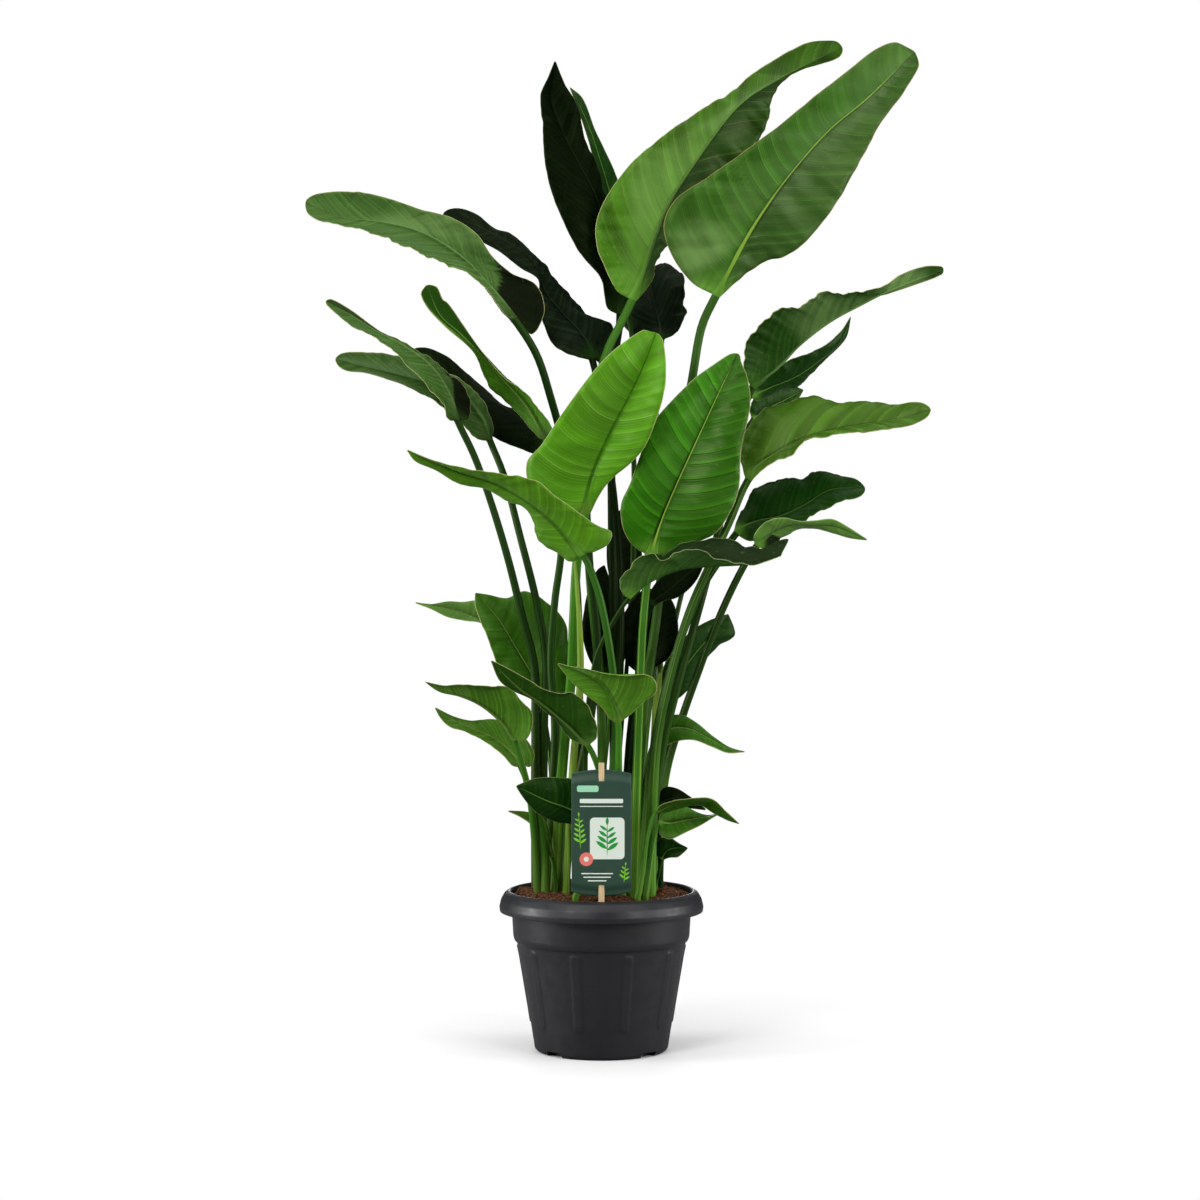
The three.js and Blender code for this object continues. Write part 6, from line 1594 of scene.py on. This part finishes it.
def build_plant():
    """The leaves, each with its own look and seed, and then the spears."""
    for seed, (name, leaf) in enumerate(LEAVES.items(), FIRST_SEED["leaf"]):
        look = LOOKS[name]
        points, faces, marks = leaf_skin(leaf, look, seed)
        made = piece("blade_" + name, points, faces, FINISH[look["finish"]], ["leaf_" + name])
        mark(made, marks)
    for seed, (name, spear) in enumerate(SPEARS.items(), FIRST_SEED["spear"]):
        points, faces, marks = spear_skin(spear, seed)
        mark(piece("rolled_" + name, points, faces, FINISH["spear"], [name]), marks)


def build_pot():
    """The pot, the mix in it, and the strands and chips that lie on the mix."""
    pot_piece(FINISH["pot"])
    soil_piece(FINISH["soil"])
    fibres("coir_strands", 2600, 15, 0.45, FINISH["coir"], 11, 2.2)
    fibres("bark_chips", 700, 8, 1.5, FINISH["bark"], 12, 1.2)


def build_label():
    """The card with a plain design: a pale panel and sprig, two more sprigs, bars and a coral dot."""
    card_piece(FINISH["card"])
    stick_piece(FINISH["wood"])
    printed("print_tag", [round_plate(-19, 385, 30, 9, 3)], FINISH["print_mint"])
    bars = [(0, 368, 60, 6, 1.5), (0, 360.5, 60, 1.2, 0.6), (-6, 267, 44, 1.6, 0.8), (-6, 262, 38, 1.6, 0.8),
            (-6, 257, 26, 1.6, 0.8)]
    panel = (8, 316, 48, 58, 6)
    printed("print_bars", [round_plate(*plate) for plate in (*bars, panel)], FINISH["print_pale"])
    printed("print_sprig", sprig(8, 291, 47, 4, 19), FINISH["print_green"], 0.24)
    edge_sprigs = [*sprig(-29, 300, 50, 5, 11, 0.05), *sprig(31, 254, 26, 3, 9, -0.1)]
    printed("print_edge_sprigs", edge_sprigs, FINISH["print_light"])
    printed("print_dot", [disc(-21, 287, 9.5)], FINISH["print_coral"], 0.24)
    printed("print_dot_middle", [disc(-21, 287, 3.6)], FINISH["print_pale"], 0.36)


# Stage


def build_stage():
    """A round pale floor whose shading fades out to plain white away from the pot."""
    sides = FLOOR["sides"]
    turn = full_turn(sides)
    rim = FLOOR["radius"] * np.stack([np.cos(turn), np.sin(turn), 0 * turn], axis=-1)
    k = np.arange(sides)
    faces = np.stack([k, (k + 1) % sides, 0 * k + sides], axis=-1)
    mesh = bpy.data.meshes.new("floor")
    mesh.from_pydata((np.vstack([rim, [[0, 0, 0]]]) * MM).tolist(), [], faces.tolist())
    floor = bpy.data.objects.new("floor", mesh)
    mesh.materials.append(floor_material())
    bpy.context.scene.collection.objects.link(floor)


def mixed(tree, share, a, b):
    """Two shaders mixed by a share."""
    made = tree.nodes.new("ShaderNodeMixShader")
    for place, value in enumerate((share, a, b)):
        tree.links.new(value, made.inputs[place])
    return made.outputs[0]


def floor_material():
    """Pale paper that carries the soft shadow, white further out, and dimmer in the light it gives back."""
    made, tree, paper = new_material("floor_paper")
    paper.inputs["Base Color"].default_value = tint("#f2f2f2")
    paper.inputs["Roughness"].default_value = 0.8
    paper.inputs["Specular IOR Level"].default_value = 0.1
    glow = tree.nodes.new("ShaderNodeEmission")
    dim = tree.nodes.new("ShaderNodeBsdfDiffuse")
    dim.inputs["Color"].default_value = tint("#8c8c8c")
    reach = op(tree, "VectorMath", object_place(tree), operation="LENGTH", out=1)
    away = ramp(tree, reach, FLOOR["fade_from"] * MM, FLOOR["fade_to"] * MM)
    seen = mixed(tree, away, paper.outputs[0], glow.outputs[0])
    both = mixed(tree, op(tree, "LightPath"), dim.outputs[0], seen)
    tree.links.new(both, tree.nodes["Material Output"].inputs["Surface"])
    return made


def lamp(name, place, aim, size, power):
    """A soft square light at a place, in metres, aimed at a point."""
    data = bpy.data.lights.new(name, "AREA")
    data.shape, data.size, data.energy = "SQUARE", size, power
    made = bpy.data.objects.new(name, data)
    made.location = place
    made.rotation_euler = (Vector(aim) - Vector(place)).to_track_quat("-Z", "Y").to_euler()
    bpy.context.scene.collection.objects.link(made)


def build_light():
    """A world that is white to the camera and dim to the plant, and the soft lamps."""
    world = bpy.data.worlds.new("studio")
    bpy.context.scene.world = world
    world.use_nodes = True
    tree = world.node_tree
    sky = tree.nodes["Background"]
    sky.inputs["Color"].default_value = (1, 1, 1, 1)
    level = ramp(tree, op(tree, "LightPath"), 0.0, 1.0, WORLD_LIGHT, 1.0)
    tree.links.new(level, sky.inputs["Strength"])
    for name, values in LAMPS.items():
        lamp(name, *values)


def build_camera():
    """A camera at its named place, turned to its aim."""
    data = bpy.data.cameras.new("camera")
    data.sensor_width, data.lens = CAMERA["sensor"], CAMERA["lens"]
    data.clip_end = 100
    made = bpy.data.objects.new("camera", data)
    made.location = Vector(CAMERA["place"]) * MM
    aim = (Vector(CAMERA["aim"]) - Vector(CAMERA["place"])) * MM
    made.rotation_euler = aim.to_track_quat("-Z", "Y").to_euler()
    bpy.context.scene.collection.objects.link(made)
    bpy.context.scene.camera = made


build_camera()
build_plant()
build_pot()
build_label()
build_stage()
build_light()
bpy.context.scene.view_settings.view_transform = "Standard"
